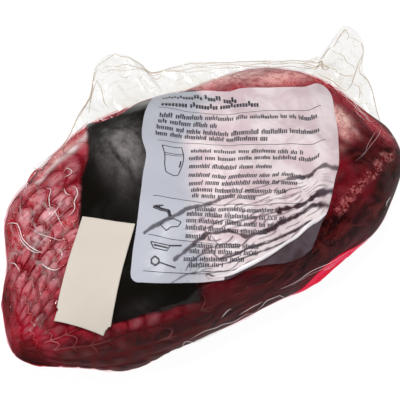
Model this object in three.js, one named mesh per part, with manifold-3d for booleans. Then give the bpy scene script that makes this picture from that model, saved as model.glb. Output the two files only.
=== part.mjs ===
// A boneless leg of lamb in elastic netting, vacuum-sealed in a clear printed bag, lying on its flat side.
// Millimetres, +Z up, +X towards the narrow end of the leg, +Y towards the bag's empty margin.
// The origin is on the ground, under the middle of the pack's outline.
import * as THREE from "three";
import { mergeVertices } from "three/addons/utils/BufferGeometryUtils.js";
import Module from "manifold-3d";

// The filled part of the bag, from end to end. A station holds, at its share of the half length,
// the front edge, the back edge, the height of the top and the height of the widest line.
const LEG_LENGTH = 280;
const STATIONS = [
  { at: -1.0, front: -53.5, back: 3, top: 62, belt: 33 },
  { at: -0.8, front: -69.5, back: 51, top: 74, belt: 36 },
  { at: -0.5, front: -78, back: 78.5, top: 84, belt: 38 },
  { at: -0.1, front: -74.5, back: 84, top: 89, belt: 40 },
  { at: 0.3, front: -71, back: 84, top: 84, belt: 40 },
  { at: 0.7, front: -57, back: 76.5, top: 76, belt: 38 },
  { at: 1.0, front: -40.5, back: 38, top: 62, belt: 34 },
];
const LEFT_TIP = { across: -31, height: 32 };
const RIGHT_TIP = { across: 3, height: 33 };
const END_SQUARENESS = 2.85; // exponents of the rounded outlines: 2 is an ellipse, more is squarer
const SECTION_SQUARENESS = 2.4;
const FLATTENED = 9; // how much of the round underside is pressed flat where the pack rests

// Muscles and pockets of juice that stand out of the even form, and waists that go in. They push
// away from a core that is shorter than the leg by this share.
const CORE_SHARE = 0.82;
const LOBES = [
  { x: -130, y: -8, z: 46, reach: 26, rise: 3.1 },
  { x: -134, y: -50, z: 26, reach: 24, rise: 5.3 },
  { x: -140, y: -24, z: 40, reach: 12, rise: -2.6 },
  { x: -112, y: 40, z: 48, reach: 26, rise: 12 },
  { x: -84, y: -74, z: 18, reach: 22, rise: 3.2 },
  { x: 66, y: -62, z: 12, reach: 26, rise: 2.6 },
  { x: -140, y: 4, z: 46, reach: 16, rise: -2.4 },
  { x: 20, y: 84, z: 60, reach: 26, rise: -2 },
  { x: 58, y: 82, z: 58, reach: 26, rise: 2 },
  { x: 96, y: 66, z: 54, reach: 26, rise: 3.9 },
  { x: 136, y: 30, z: 46, reach: 24, rise: -4.5 },
  { x: 142, y: -20, z: 24, reach: 24, rise: -4.6 },
  { x: -66, y: -80, z: 6, reach: 14, rise: 2 },
  { x: 110, y: -52, z: 12, reach: 24, rise: 1.7 },
];
// Low waves that the netting pulls into the meat. A phase starts at its last value and grows by the
// other three, in radians, for each millimetre of x, y and z.
const COARSE_WAVE = { height: 1.3, along: [0.105, 0.048, 0, 0.6], across: [0, 0.08, -0.059, 1.1] };
const FINE_WAVE = { height: 0.9, along: [0.059, -0.095, 0.077, 0] };

// The empty margin of the bag stands out behind the meat. Its rim, seen from above, left to right.
const MARGIN_RIM = [
  [-89, 68], [-66, 77], [-50, 91], [-36, 104], [-24, 121], [-9, 127], [4, 116], [11, 107],
  [39, 103], [61, 94], [104, 78], [118, 72], [143, 83], [147, 66], [138, 48], [136, 33], [129, 7],
];
const MARGIN_MIDDLE = { x: 25, y: 5 }; // the margin runs outwards from here
const MARGIN_ROOT_HEIGHT = 44;
const MARGIN_RISE = 0.3; // climb for each millimetre outwards
const MARGIN_INSET = 0.9; // where the margin starts, as a share of the way out to the meat's edge
const MARGIN_THICKNESS = 1.4;
const MARGIN_WAVE = { height: 1.1, count: 9, slowCount: 4.7, slant: 5 }; // full height at the rim

// The blank paper sticker, near the front left of the top
const STICKER = { x: -85.1, y: -32.6, width: 31.8, run: 58, turn: 50.6, gap: 0.5, thickness: 0.4 };

const REFERENCE = { x: 2.19, y: 24.36 }; // middle of the outline, in the frame of the values above

const LEG_STEPS = { around: 80, along: 44 };
const MARGIN_STEPS = { along: 46, out: 7 };
const STICKER_STEPS = { across: 6, along: 12 };

// One value of the stations at a share of the half length, on a smooth cubic through all of them.
function stationValue(key, share) {
  const last = STATIONS.length - 1;
  const slope = (k) => {
    const before = STATIONS[Math.max(k - 1, 0)];
    const after = STATIONS[Math.min(k + 1, last)];
    return (after[key] - before[key]) / (after.at - before.at);
  };
  let k = 0;
  while (k < last - 1 && share > STATIONS[k + 1].at) k += 1;
  const [a, b] = [STATIONS[k], STATIONS[k + 1]];
  const span = b.at - a.at;
  const s = (share - a.at) / span;
  const bend = s * s * (3 - 2 * s);
  return (
    a[key] + (b[key] - a[key]) * bend +
    span * (slope(k) * s * (1 - s) ** 2 - slope(k + 1) * s * s * (1 - s))
  );
}

// The cross-section at a share of the half length: its middle, half width and heights above and below.
// The fullness is 1 along the leg and falls to 0 at the tips, where the section shrinks to a point.
function crossSection(share, fullness) {
  const towards = (key, tipKey) => {
    const tip = THREE.MathUtils.mapLinear(share, -1, 1, LEFT_TIP[tipKey], RIGHT_TIP[tipKey]);
    const full = key === "ground" ? -FLATTENED : stationValue(key, share);
    return tip + (full - tip) * fullness;
  };
  const front = towards("front", "across");
  const back = towards("back", "across");
  const belt = towards("belt", "height");
  return {
    middle: (front + back) / 2,
    halfWidth: (back - front) / 2,
    belt,
    above: towards("top", "height") - belt,
    below: belt - towards("ground", "height"),
  };
}

const fullnessAt = (share) =>
  Math.max(1 - Math.abs(share) ** END_SQUARENESS, 0) ** (1 / END_SQUARENESS);

// Radius of a squarish ring with the given half axes, in the direction (c, s).
const ringRadius = (c, s, a, b, squareness) =>
  (Math.abs(c / a) ** squareness + Math.abs(s / b) ** squareness) ** (-1 / squareness);

// Height of the low waves at a point: a product of two sines, and a third sine.
function rumple({ x, y, z }) {
  const sine = ([a, b, c, start]) => Math.sin(a * x + b * y + c * z + start);
  return (
    COARSE_WAVE.height * sine(COARSE_WAVE.along) * sine(COARSE_WAVE.across) +
    FINE_WAVE.height * sine(FINE_WAVE.along)
  );
}

// Moves a point of the even form outwards by the waves and lobes, and presses the underside flat.
function swell(point, middle) {
  let rise = rumple(point);
  for (const lobe of LOBES) {
    const away = (point.x - lobe.x) ** 2 + (point.y - lobe.y) ** 2 + (point.z - lobe.z) ** 2;
    rise += lobe.rise * Math.exp(-away / lobe.reach ** 2);
  }
  const outwards = point.clone().sub(middle).normalize();
  const moved = point.clone().addScaledVector(outwards, rise);
  moved.z = Math.max(moved.z, 0);
  return moved;
}

const coreOf = (x, section) => new THREE.Vector3(x * CORE_SHARE, section.middle, section.belt);

// A point of the pack: latitude runs from tip to tip, angle runs round from the back over the top.
function packPoint(latitude, angle) {
  const [c, s] = [Math.cos(latitude), Math.sin(latitude)];
  const reach = ringRadius(c, s, 1, 1, END_SQUARENESS);
  const share = reach * s;
  const section = crossSection(share, Math.max(reach * c, 0));
  const x = (LEG_LENGTH / 2) * share;
  const core = coreOf(x, section);
  if (section.halfWidth < 1e-6) return swell(new THREE.Vector3(x, section.middle, section.belt), core);
  const [across, up] = [Math.cos(angle), Math.sin(angle)];
  const height = up >= 0 ? section.above : section.below;
  const radius = ringRadius(across, up, section.halfWidth, height, SECTION_SQUARENESS);
  const point = new THREE.Vector3(x, section.middle + radius * across, section.belt + radius * up);
  return swell(point, core);
}

// The point of the top over a place in plan. The lobes move points sideways too, so it is found
// by correcting the start by what it missed.
function topPoint(x, y) {
  let [startX, startY] = [x, y];
  let point;
  for (let round = 0; round < 8; round += 1) {
    const share = (2 * startX) / LEG_LENGTH;
    const section = crossSection(share, fullnessAt(share));
    const across = Math.min(Math.abs((startY - section.middle) / section.halfWidth), 1);
    const height = section.above * (1 - across ** SECTION_SQUARENESS) ** (1 / SECTION_SQUARENESS);
    point = swell(new THREE.Vector3(startX, startY, section.belt + height), coreOf(startX, section));
    startX += x - point.x;
    startY += y - point.y;
  }
  return point;
}

// The top over a place in plan, lifted along its own normal.
function liftedTopPoint(x, y, lift) {
  const step = 0.5;
  const point = topPoint(x, y);
  const alongX = topPoint(x + step, y).sub(point);
  const alongY = topPoint(x, y + step).sub(point);
  return point.addScaledVector(alongX.cross(alongY).normalize(), lift);
}

// How far out the meat reaches from the margin's middle, towards a place in plan.
function edgeShare(target) {
  let [inside, outside] = [0, 1];
  for (let round = 0; round < 24; round += 1) {
    const share = (inside + outside) / 2;
    const x = THREE.MathUtils.lerp(MARGIN_MIDDLE.x, target.x, share);
    const y = THREE.MathUtils.lerp(MARGIN_MIDDLE.y, target.y, share);
    const along = (2 * x) / LEG_LENGTH;
    const section = crossSection(THREE.MathUtils.clamp(along, -1, 1), fullnessAt(along));
    const within = Math.abs(along) < 1 && Math.abs(y - section.middle) < section.halfWidth;
    if (within) inside = share;
    else outside = share;
  }
  return inside;
}

const rimCurve = new THREE.CatmullRomCurve3(
  MARGIN_RIM.map(([x, y]) => new THREE.Vector3(x, y, 0)), false, "centripetal",
);

// A point of the empty margin: along its rim, and out from inside the meat to the rim.
function marginPoint(along, out, lift) {
  const rim = rimCurve.getPoint(along);
  const middle = new THREE.Vector3(MARGIN_MIDDLE.x, MARGIN_MIDDLE.y, 0);
  const root = middle.clone().lerp(rim, edgeShare(rim) * MARGIN_INSET);
  const point = root.clone().lerp(rim, out);
  const turns = 2 * Math.PI * along;
  const wave = Math.sin(MARGIN_WAVE.count * turns) +
    Math.sin(MARGIN_WAVE.slowCount * turns + MARGIN_WAVE.slant * out);
  const climb = MARGIN_RISE * point.distanceTo(root) + MARGIN_WAVE.height * out * wave;
  point.z = MARGIN_ROOT_HEIGHT + climb + lift;
  return point;
}

// Replaces every corner of a geometry by the point that the function gives for it.
function reshape(geometry, place) {
  const corners = geometry.attributes.position;
  const corner = new THREE.Vector3();
  for (let i = 0; i < corners.count; i += 1) {
    corner.fromBufferAttribute(corners, i);
    const moved = place(corner);
    corners.setXYZ(i, moved.x, moved.y, moved.z);
  }
  geometry.deleteAttribute("normal");
  geometry.deleteAttribute("uv");
  return mergeVertices(geometry, 1e-3);
}

function legGeometry() {
  const ball = new THREE.SphereGeometry(1, LEG_STEPS.around, LEG_STEPS.along);
  return reshape(ball, (corner) => {
    const latitude = Math.asin(THREE.MathUtils.clamp(corner.y, -1, 1));
    return packPoint(latitude, Math.atan2(corner.x, corner.z));
  });
}

function marginGeometry() {
  const sheet = new THREE.BoxGeometry(1, 1, 1, MARGIN_STEPS.along, 1, MARGIN_STEPS.out);
  return reshape(sheet, (corner) =>
    marginPoint(corner.x + 0.5, 0.5 - corner.z, corner.y * MARGIN_THICKNESS));
}

function stickerGeometry() {
  const turn = THREE.MathUtils.degToRad(STICKER.turn);
  const [c, s] = [Math.cos(turn), Math.sin(turn)];
  const sheet = new THREE.BoxGeometry(1, 1, 1, STICKER_STEPS.across, 1, STICKER_STEPS.along);
  return reshape(sheet, (corner) => {
    const across = corner.x * STICKER.width;
    const along = -corner.z * STICKER.run;
    const lift = STICKER.gap + (corner.y + 0.5) * STICKER.thickness;
    return liftedTopPoint(
      STICKER.x + along * c + across * s, STICKER.y + along * s - across * c, lift,
    );
  });
}

const wasm = await Module();
wasm.setup();

const solidOf = (geometry) => new wasm.Manifold(new wasm.Mesh({
  numProp: 3,
  vertProperties: Float32Array.from(geometry.attributes.position.array),
  triVerts: Uint32Array.from(geometry.index.array),
}));

function geometryOf(solid) {
  const { vertProperties, triVerts } = solid.getMesh();
  const geometry = new THREE.BufferGeometry();
  geometry.setAttribute("position", new THREE.BufferAttribute(vertProperties, 3));
  geometry.setIndex(new THREE.BufferAttribute(triVerts, 1));
  geometry.computeVertexNormals();
  return geometry;
}

function namedMesh(name, geometry, look) {
  const mesh = new THREE.Mesh(geometry, new THREE.MeshStandardMaterial(look));
  mesh.name = name;
  return mesh;
}

const sealedBag = geometryOf(solidOf(legGeometry()).add(solidOf(marginGeometry())));

const pack = new THREE.Group();
pack.add(
  namedMesh("lamb_pack", sealedBag, { color: 0x6e1420, roughness: 0.25, metalness: 0 }),
  namedMesh("paper_sticker", stickerGeometry(), { color: 0xe4dacc, roughness: 0.8, metalness: 0 }),
);
pack.position.set(-REFERENCE.x, -REFERENCE.y, 0);

export default pack;
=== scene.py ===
import bpy
import numpy as np
from mathutils import Matrix


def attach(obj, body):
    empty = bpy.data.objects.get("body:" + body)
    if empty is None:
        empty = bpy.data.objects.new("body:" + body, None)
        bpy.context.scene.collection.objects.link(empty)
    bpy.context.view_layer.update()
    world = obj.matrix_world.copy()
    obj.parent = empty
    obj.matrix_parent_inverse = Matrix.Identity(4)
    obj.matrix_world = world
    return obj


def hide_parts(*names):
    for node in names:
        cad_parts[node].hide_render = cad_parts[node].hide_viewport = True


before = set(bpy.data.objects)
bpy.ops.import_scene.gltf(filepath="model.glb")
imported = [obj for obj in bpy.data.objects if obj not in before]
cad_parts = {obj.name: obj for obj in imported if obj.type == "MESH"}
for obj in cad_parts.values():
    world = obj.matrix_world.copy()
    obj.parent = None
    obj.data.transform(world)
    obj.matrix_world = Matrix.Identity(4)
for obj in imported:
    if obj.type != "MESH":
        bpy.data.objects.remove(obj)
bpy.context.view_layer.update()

# ---------------------------------------------------------------------------------------------
# The view: a pale floor, soft studio light from above, from the left and from the front, and a
# long lens that looks down on the pack. Lengths in this file are in millimetres, in a frame whose
# middle is the leg's own; to_row turns them into the row frame's metres.
# ---------------------------------------------------------------------------------------------
REFERENCE = np.array([2.19, 24.36, 0.0])
MM = 0.001

VIEW_TURN, VIEW_RISE = np.radians(-25.0), np.radians(55.0)
VIEW_AIM, VIEW_DISTANCE = np.array([0.0, 9.5, 36.0]), 700.0
LENS, SENSOR, NEAREST, FARTHEST = 100.0, 36.0, 0.01, 20.0
WORLD_STRENGTH, FLOOR_HALF, FLOOR_GLOW = 0.08, 6.0, 0.97
FLOOR_GREY = (0.08, 0.08, 0.08)


def to_row(points):
    """Millimetres in the leg's frame to metres in the row frame: subtract the reference, scale."""
    return (np.asarray(points, float) - REFERENCE) * MM


def looking(name, data, place, target):
    """An object at a place whose -Z axis points at the target, with its X axis level."""
    back = place - target
    back = back / np.linalg.norm(back)
    right = np.cross([0.0, 0.0, 1.0], back)
    right = right / np.linalg.norm(right)
    thing = bpy.data.objects.new(name, data)
    thing.matrix_world = Matrix.Translation(to_row(place)) @ Matrix(
        np.column_stack([right, np.cross(back, right), back]).tolist()
    ).to_4x4()
    bpy.context.scene.collection.objects.link(thing)
    return thing


eye_way = np.array([
    np.sin(VIEW_TURN) * np.cos(VIEW_RISE), -np.cos(VIEW_TURN) * np.cos(VIEW_RISE),
    np.sin(VIEW_RISE),
])
lens = bpy.data.cameras.new("lens")
lens.lens, lens.sensor_width = LENS, SENSOR
lens.clip_start, lens.clip_end = NEAREST, FARTHEST
bpy.context.scene.camera = looking("camera", lens, VIEW_AIM + eye_way * VIEW_DISTANCE, VIEW_AIM)
bpy.context.scene.view_settings.view_transform = "Standard"


def softbox(name, place, size, watts, aim=(0.0, 0.0, 40.0)):
    """A rectangular area light of the given sides in millimetres, aimed at the pack."""
    light = bpy.data.lights.new(name, "AREA")
    light.shape, light.size, light.size_y = "RECTANGLE", size[0] * MM, size[1] * MM
    light.energy = watts
    return looking(name, light, np.array(place, float), np.array(aim, float))


softbox("top_light", (-140, -60, 1250), (340, 280), 15)
softbox("left_light", (-950, 40, 420), (40, 420), 3.2)
softbox("front_light", (60, -950, 330), (1000, 260), 1.0)

world = bpy.data.worlds.new("studio")
world.use_nodes = True
world.node_tree.nodes["Background"].inputs["Color"].default_value = (1, 1, 1, 1)
world.node_tree.nodes["Background"].inputs["Strength"].default_value = WORLD_STRENGTH
bpy.context.scene.world = world


class Look:
    """A material whose nodes are made by short calls: add() makes a node, wires its inputs and
    returns it."""

    def __init__(self, name):
        self.material = bpy.data.materials.new(name)
        self.material.use_nodes = True
        self.tree = self.material.node_tree
        self.tree.nodes.clear()
        self.output = self.tree.nodes.new("ShaderNodeOutputMaterial")

    def wire(self, socket, value):
        """Links a node or an output to a socket, or sets the socket's own value."""
        if isinstance(value, bpy.types.Node):
            value = value.outputs[0]
        if isinstance(value, bpy.types.NodeSocket):
            self.tree.links.new(value, socket)
        elif isinstance(value, (tuple, list)) and len(value) == 3 and socket.type == "RGBA":
            socket.default_value = (*value, 1.0)
        else:
            socket.default_value = value

    def add(self, kind, settings=None, **inputs):
        """A node of a kind. Inputs go by name, or by number as in0, in1 and so on."""
        node = self.tree.nodes.new("ShaderNode" + kind)
        for key, value in (settings or {}).items():
            setattr(node, key, value)
        for key, value in inputs.items():
            index = int(key[2:]) if key.startswith("in") and key[2:].isdigit() else None
            socket = node.inputs[index if index is not None else key.replace("_", " ")]
            self.wire(socket, value)
        return node

    def maths(self, operation, a, b=0.0):
        """One sum on two numbers."""
        return self.add("Math", {"operation": operation}, in0=a, in1=b)

    def noise(self, scale, detail=3.0, rough=0.5, where=None, twist=0.0):
        """Cloudy noise on the object's own coordinates, or where another place is given."""
        return self.add("TexNoise", Vector=where or self.here(), Scale=scale, Detail=detail,
                        Roughness=rough, Distortion=twist).outputs["Fac"]

    def here(self, stretch=(1, 1, 1), turn=(0, 0, 0)):
        """The object's own coordinates, stretched and turned where asked."""
        place = self.add("TexCoord").outputs["Object"]
        if stretch == (1, 1, 1) and turn == (0, 0, 0):
            return place
        return self.add("Mapping", Vector=place, Rotation=turn, Scale=stretch).outputs[0]

    def mark(self, name):
        """A number that the mesh carries at each point."""
        return self.add("Attribute", {"attribute_name": name}).outputs["Fac"]

    def ramp(self, fac, *stops):
        """A number turned into others, or into colours, between stops at given places."""
        node = self.add("ValToRGB", Fac=fac)
        points = node.color_ramp.elements
        while len(points) < len(stops):
            points.new(0.5)
        for point, (place, colour) in zip(points, stops):
            point.position = place
            value = colour if isinstance(colour, tuple) else (colour,) * 3
            point.color = (*value, 1.0)
        return node.outputs["Color"]

    def blend(self, fac, a, b):
        """From colour a at 0 to colour b at 1."""
        node = self.add("Mix", {"data_type": "RGBA"})
        self.wire(node.inputs["Factor"], fac)
        self.wire(node.inputs[6], a)
        self.wire(node.inputs[7], b)
        return node.outputs[2]

    def bump(self, height, distance, strength=1.0, normal=None):
        """A normal that leans by the slope of a height, on top of another normal if given."""
        node = self.add("Bump", Height=height, Distance=distance, Strength=strength)
        if normal is not None:
            self.wire(node.inputs["Normal"], normal)
        return node.outputs[0]

    def finish(self, shader):
        """Puts the shader on the surface and returns the material."""
        self.wire(self.output.inputs["Surface"], shader)
        return self.material


floor_look = Look("floor")
floor = bpy.data.meshes.new("floor")
floor.from_pydata(
    [(-FLOOR_HALF, -FLOOR_HALF, 0), (FLOOR_HALF, -FLOOR_HALF, 0),
     (FLOOR_HALF, FLOOR_HALF, 0), (-FLOOR_HALF, FLOOR_HALF, 0)], [], [(0, 1, 2, 3)],
)
floor.materials.append(floor_look.finish(floor_look.add(
    "BsdfPrincipled", Base_Color=FLOOR_GREY, Roughness=0.9,
    Emission_Color=(1.0, 1.0, 1.0), Emission_Strength=FLOOR_GLOW,
)))
floor_object = bpy.data.objects.new("floor", floor)
bpy.context.scene.collection.objects.link(floor_object)

# ---------------------------------------------------------------------------------------------
# The meat: a boned and rolled leg of lamb, dark red muscle with seams and patches of pale fat.
# It fills the bag, and the netting pulls a cushion of meat up through each of its cells.
# ---------------------------------------------------------------------------------------------
LEG_LENGTH = 280.0
# share of the half length, front edge, back edge, height of the top, height of the widest line
STATIONS = np.array([
    [-1.0, -53.5, 3.0, 62.0, 33.0],
    [-0.8, -69.5, 51.0, 74.0, 36.0],
    [-0.5, -78.0, 78.5, 84.0, 38.0],
    [-0.1, -74.5, 84.0, 89.0, 40.0],
    [0.3, -71.0, 84.0, 84.0, 40.0],
    [0.7, -57.0, 76.5, 76.0, 38.0],
    [1.0, -40.5, 38.0, 62.0, 34.0],
])
LEFT_TIP, RIGHT_TIP = np.array([-31.0, 32.0]), np.array([3.0, 33.0])
END_SQUARENESS, SECTION_SQUARENESS, FLATTENED = 2.85, 2.4, 9.0
LOBES = np.array([  # place, reach, rise
    [-130.0, -8.0, 46.0, 26.0, 3.1],
    [-134.0, -50.0, 26.0, 24.0, 5.3],
    [-140.0, -24.0, 40.0, 12.0, -2.6],
    [-112.0, 40.0, 48.0, 26.0, 12.0],
    [-84.0, -74.0, 18.0, 22.0, 3.2],
    [66.0, -62.0, 12.0, 26.0, 2.6],
    [-140.0, 4.0, 46.0, 16.0, -2.4],
    [20.0, 84.0, 60.0, 26.0, -2.0],
    [58.0, 82.0, 58.0, 26.0, 2.0],
    [96.0, 66.0, 54.0, 26.0, 3.9],
    [136.0, 30.0, 46.0, 24.0, -4.5],
    [142.0, -20.0, 24.0, 24.0, -4.6],
    [-66.0, -80.0, 6.0, 14.0, 2.0],
    [110.0, -52.0, 12.0, 24.0, 1.7],
])
CORE_SHARE = 0.82
COARSE_HEIGHT, COARSE_ALONG, COARSE_ACROSS = 1.3, (0.105, 0.048, 0, 0.6), (0, 0.08, -0.059, 1.1)
FINE_HEIGHT, FINE_ALONG = 0.9, (0.059, -0.095, 0.077, 0)


def station_values(share):
    """Front, back, top and belt at a share of the half length: a smooth cubic through the
    stations, whose slope at each is that of the line between its two neighbours."""
    at, values = STATIONS[:, 0], STATIONS[:, 1:]
    before = np.maximum(np.arange(len(at)) - 1, 0)
    after = np.minimum(np.arange(len(at)) + 1, len(at) - 1)
    slope = (values[after] - values[before]) / (at[after] - at[before])[:, None]
    k = np.clip(np.searchsorted(at, share) - 1, 0, len(at) - 2)
    span = at[k + 1] - at[k]
    s = ((share - at[k]) / span)[..., None]
    return (values[k] + (values[k + 1] - values[k]) * s * s * (3 - 2 * s)
            + span[..., None] * (slope[k] * s * (1 - s) ** 2 - slope[k + 1] * s * s * (1 - s)))


def cross_section(share, fullness):
    """Middle, half width, belt height, height above it and below it, drawn in towards the tip
    line as the fullness falls from 1 to 0."""
    a = ((share + 1) / 2)[..., None]
    across, height = np.moveaxis(LEFT_TIP * (1 - a) + RIGHT_TIP * a, -1, 0)
    front, back, top, belt = np.moveaxis(station_values(share), -1, 0)
    front, back = across + (front - across) * fullness, across + (back - across) * fullness
    top, belt = height + (top - height) * fullness, height + (belt - height) * fullness
    ground = height + (-FLATTENED - height) * fullness
    return (front + back) / 2, (back - front) / 2, belt, top - belt, belt - ground


def swell(points, core, lobes):
    """Moves points out from the core line by the low waves and the lobes, each a bell curve, and
    presses what would be under the ground flat."""
    def sine(wave):
        """The sine of a flat wave: its radians per millimetre along each axis, then its start."""
        return np.sin(points @ np.array(wave[:3]) + wave[3])

    rise = COARSE_HEIGHT * sine(COARSE_ALONG) * sine(COARSE_ACROSS) + FINE_HEIGHT * sine(FINE_ALONG)
    for x, y, z, reach, lobe_rise in lobes:
        rise = rise + lobe_rise * np.exp(-((points - (x, y, z)) ** 2).sum(-1) / reach**2)
    out = points - core
    out = out / np.maximum(np.linalg.norm(out, axis=-1, keepdims=True), 1e-9)
    points = points + out * rise[..., None]
    points[..., 2] = np.maximum(points[..., 2], 0.0)
    return points


def pack_form(latitude, angle, lobes=LOBES):
    """The outside of the filled bag. Latitude runs from tip to tip and angle round from the back
    over the top; both outlines are rounded rectangles given by their radius in each direction."""
    latitude, angle = np.broadcast_arrays(latitude, angle)
    c, s = np.abs(np.cos(latitude)), np.abs(np.sin(latitude))
    reach = (c**END_SQUARENESS + s**END_SQUARENESS) ** (-1 / END_SQUARENESS)
    share = reach * np.sin(latitude)
    middle, half_width, belt, above, below = cross_section(share, reach * c)
    half_width = np.maximum(half_width, 1e-6)
    height = np.maximum(np.where(np.sin(angle) >= 0, above, below), 1e-6)
    radius = (np.abs(np.cos(angle) / half_width) ** SECTION_SQUARENESS
              + np.abs(np.sin(angle) / height) ** SECTION_SQUARENESS) ** (-1 / SECTION_SQUARENESS)
    x = LEG_LENGTH / 2 * share
    points = np.stack([x, middle + radius * np.cos(angle), belt + radius * np.sin(angle)], -1)
    return swell(points, np.stack([x * CORE_SHARE, middle, belt], -1), lobes)


def unit(vectors):
    """Vectors divided by their own lengths."""
    return vectors / np.maximum(np.linalg.norm(vectors, axis=-1, keepdims=True), 1e-12)


def pack_normal(latitude, angle):
    """Outward normal of the pack: the cross product of two short steps on it."""
    step = 0.004
    latitude = np.clip(latitude, -np.pi / 2 + 3 * step, np.pi / 2 - 3 * step)
    round_step = pack_form(latitude, angle + step) - pack_form(latitude, angle - step)
    long_step = pack_form(latitude + step, angle) - pack_form(latitude - step, angle)
    return unit(np.cross(round_step, long_step))


RIPPLE_WAVES, RIPPLE_SPREAD, RIPPLE_PEAK = 9, (0.7, 1.4), 1.6


def ripples(points, wavelength, seed, stretch=(1, 1, 1)):
    """Smooth irregular waves, mostly between -1 and 1: sines in random directions, all near one
    wavelength, added up and divided by RIPPLE_PEAK times the root mean square of such a sum."""
    draw = np.random.default_rng(seed)
    ways = unit(draw.normal(size=(RIPPLE_WAVES, 3))) * (2 * np.pi / wavelength)
    ways = ways * draw.uniform(*RIPPLE_SPREAD, (RIPPLE_WAVES, 1))
    waves = np.sin((points * np.array(stretch)) @ ways.T + draw.uniform(0, 2 * np.pi, RIPPLE_WAVES))
    return waves.sum(-1) / np.sqrt(RIPPLE_WAVES / 2) / RIPPLE_PEAK


def object_from(name, points, faces, material, marks=None):
    """A piece from points in millimetres, faces, and marks for each point. It rides on the one
    body."""
    mesh = bpy.data.meshes.new(name)
    mesh.from_pydata(to_row(points), [], faces)
    mesh.polygons.foreach_set("use_smooth", np.ones(len(mesh.polygons), bool))
    for key, values in (marks or {}).items():
        attribute = mesh.attributes.new(key, "FLOAT", "POINT")
        attribute.data.foreach_set("value", np.ravel(values).astype(np.float32))
    mesh.materials.append(material)
    piece = bpy.data.objects.new(name, mesh)
    bpy.context.scene.collection.objects.link(piece)
    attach(piece, "root")
    return piece


def shell_faces(rows, ring):
    """Faces of a closed shell: a tip point, rings of points, and the other tip point."""
    index = 1 + np.arange((rows - 1) * ring).reshape(rows - 1, ring)
    following = np.roll(index, -1, axis=1)
    quads = np.stack([index[:-1], following[:-1], following[1:], index[1:]], -1).reshape(-1, 4)
    last = 1 + (rows - 1) * ring
    start = np.stack([np.zeros(ring, int), following[0], index[0]], -1)
    end = np.stack([np.full(ring, last), index[-1], following[-1]], -1)
    return start.tolist() + quads.tolist() + end.tolist()


def shell_places(rows, ring):
    """Latitudes and angles of a shell's rings, evenly spaced, without the two tips."""
    latitude = np.linspace(-np.pi / 2, np.pi / 2, rows + 1)[1:-1, None]
    angle = np.linspace(0, 2 * np.pi, ring, endpoint=False)[None]
    return np.broadcast_arrays(latitude, angle)


def closed_shell(grid):
    """Rings of points with a tip added at each end, at the mean of the nearest ring."""
    flat = grid.reshape(-1, 3)
    return np.concatenate([grid[:1].mean(1), flat, grid[-1:].mean(1)])


def with_tips(values):
    """Marks of a shell's rings with those of its two tips, which take the nearest ring's mean."""
    return np.concatenate([values[:1].mean(1), values.ravel(), values[-1:].mean(1)])


MEAT_DEPTH, CUSHION, CUSHION_ROUNDNESS = 2.4, 1.8, 0.75
# where the meat has no cushions it lies close to the film
SMOOTH_DEPTH, SMOOTH_SHARE, SMOOTH_CUSHION, SMOOTH_BY_DARK, SMOOTH_MOST = 1.3, 0.65, 0.75, 0.8, 0.92
SMOOTH_FROM_X, SMOOTH_OVER_X, FLANK_TOP, FLANK_OVER, LOWEST_MEAT = -62.0, 44.0, 52.0, 14.0, 0.35
HIGHEST_MEAT, HIGHEST_FLANK, RAISED, FLANK_RAISED = -0.75, -0.34, 1.5, 1.1
# place, reach and rise of the meat alone
DRAWN_IN = [[57.0, -64.0, 18.0, 18.0, -7.0], [-14.0, -76.0, 24.0, 20.0, -0.6]]
MEAT_ROWS, MEAT_RING = 282, 350

# The netting's cells: how many go round the leg, and how long one is at the left tip and beyond
NET_AROUND, CELL_AT_TIP, CELL_LENGTH, CELL_GROWS_OVER = 34, 7.5, 12.5, 80.0
ZIGZAG, SWAY, SPREAD, WIDEST_AT = 0.20, 0.042, 0.34, np.radians(62)
TIP_STEPS = 600

tip_to_tip = np.linspace(-np.pi / 2, np.pi / 2, TIP_STEPS)
run_points = pack_form(tip_to_tip, np.full(TIP_STEPS, 2.0), lobes=())
run = np.concatenate([[0], np.cumsum(np.linalg.norm(np.diff(run_points, axis=0), axis=1))])
pitch = CELL_AT_TIP + (CELL_LENGTH - CELL_AT_TIP) * np.clip(run / CELL_GROWS_OVER, 0, 1)
cells_from_tip = np.concatenate([[0], np.cumsum(np.diff(run) / pitch[1:])])


def kink(cell):
    """A row of scallops from -1 to 1, one in each cell: 1 less twice the size of a sine."""
    return 1 - 2 * np.abs(np.sin(np.pi * cell))


def sway(latitude, angle):
    """How far, in radians round the leg, the netting has slipped from its even lay: it is spread
    widest over the top."""
    waves = (np.sin(3 * angle + 4 * latitude) + np.sin(7 * latitude - 2 * angle + 1)
             + 0.5 * np.sin(11 * latitude + 5 * angle) + 0.16 * np.sin(19 * angle + 23 * latitude))
    return SPREAD * np.sin(angle - WIDEST_AT) + SWAY * waves


def wander(latitude, angle):
    """How far, in cells along the leg, the hoops stray from their even lay."""
    waves = 0.24 * np.sin(4 * angle + 9 * latitude) + 0.16 * np.sin(11 * angle - 6 * latitude)
    return waves * np.cos(latitude)


def scallops(latitude):
    """How deep the hoops' scallops are, in cells: none close to the tips."""
    return ZIGZAG * np.clip(3.4 * np.cos(latitude) - 1.2, 0, 1)


def net_cells(latitude, angle):
    """Cells round the leg and cells along it: whole numbers lie on the cords, and the hoops kink
    where they meet the long cords."""
    around = NET_AROUND * (angle - sway(latitude, angle)) / (2 * np.pi)
    hoops = np.interp(latitude, tip_to_tip, cells_from_tip)
    return around, hoops + wander(latitude, angle) + scallops(latitude) * kink(around)


def bell(points, place, reach):
    """1 at a place and falling to 0 round it, with a reach along each axis."""
    return np.exp(-(((points - np.array(place)) / np.array(reach)) ** 2).sum(-1))


def patches(points, *spots):
    """The largest of several bells, each given by a strength, a place and a reach."""
    return np.max([strength * bell(points, place, reach) for strength, place, reach in spots],
                  axis=0)


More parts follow.
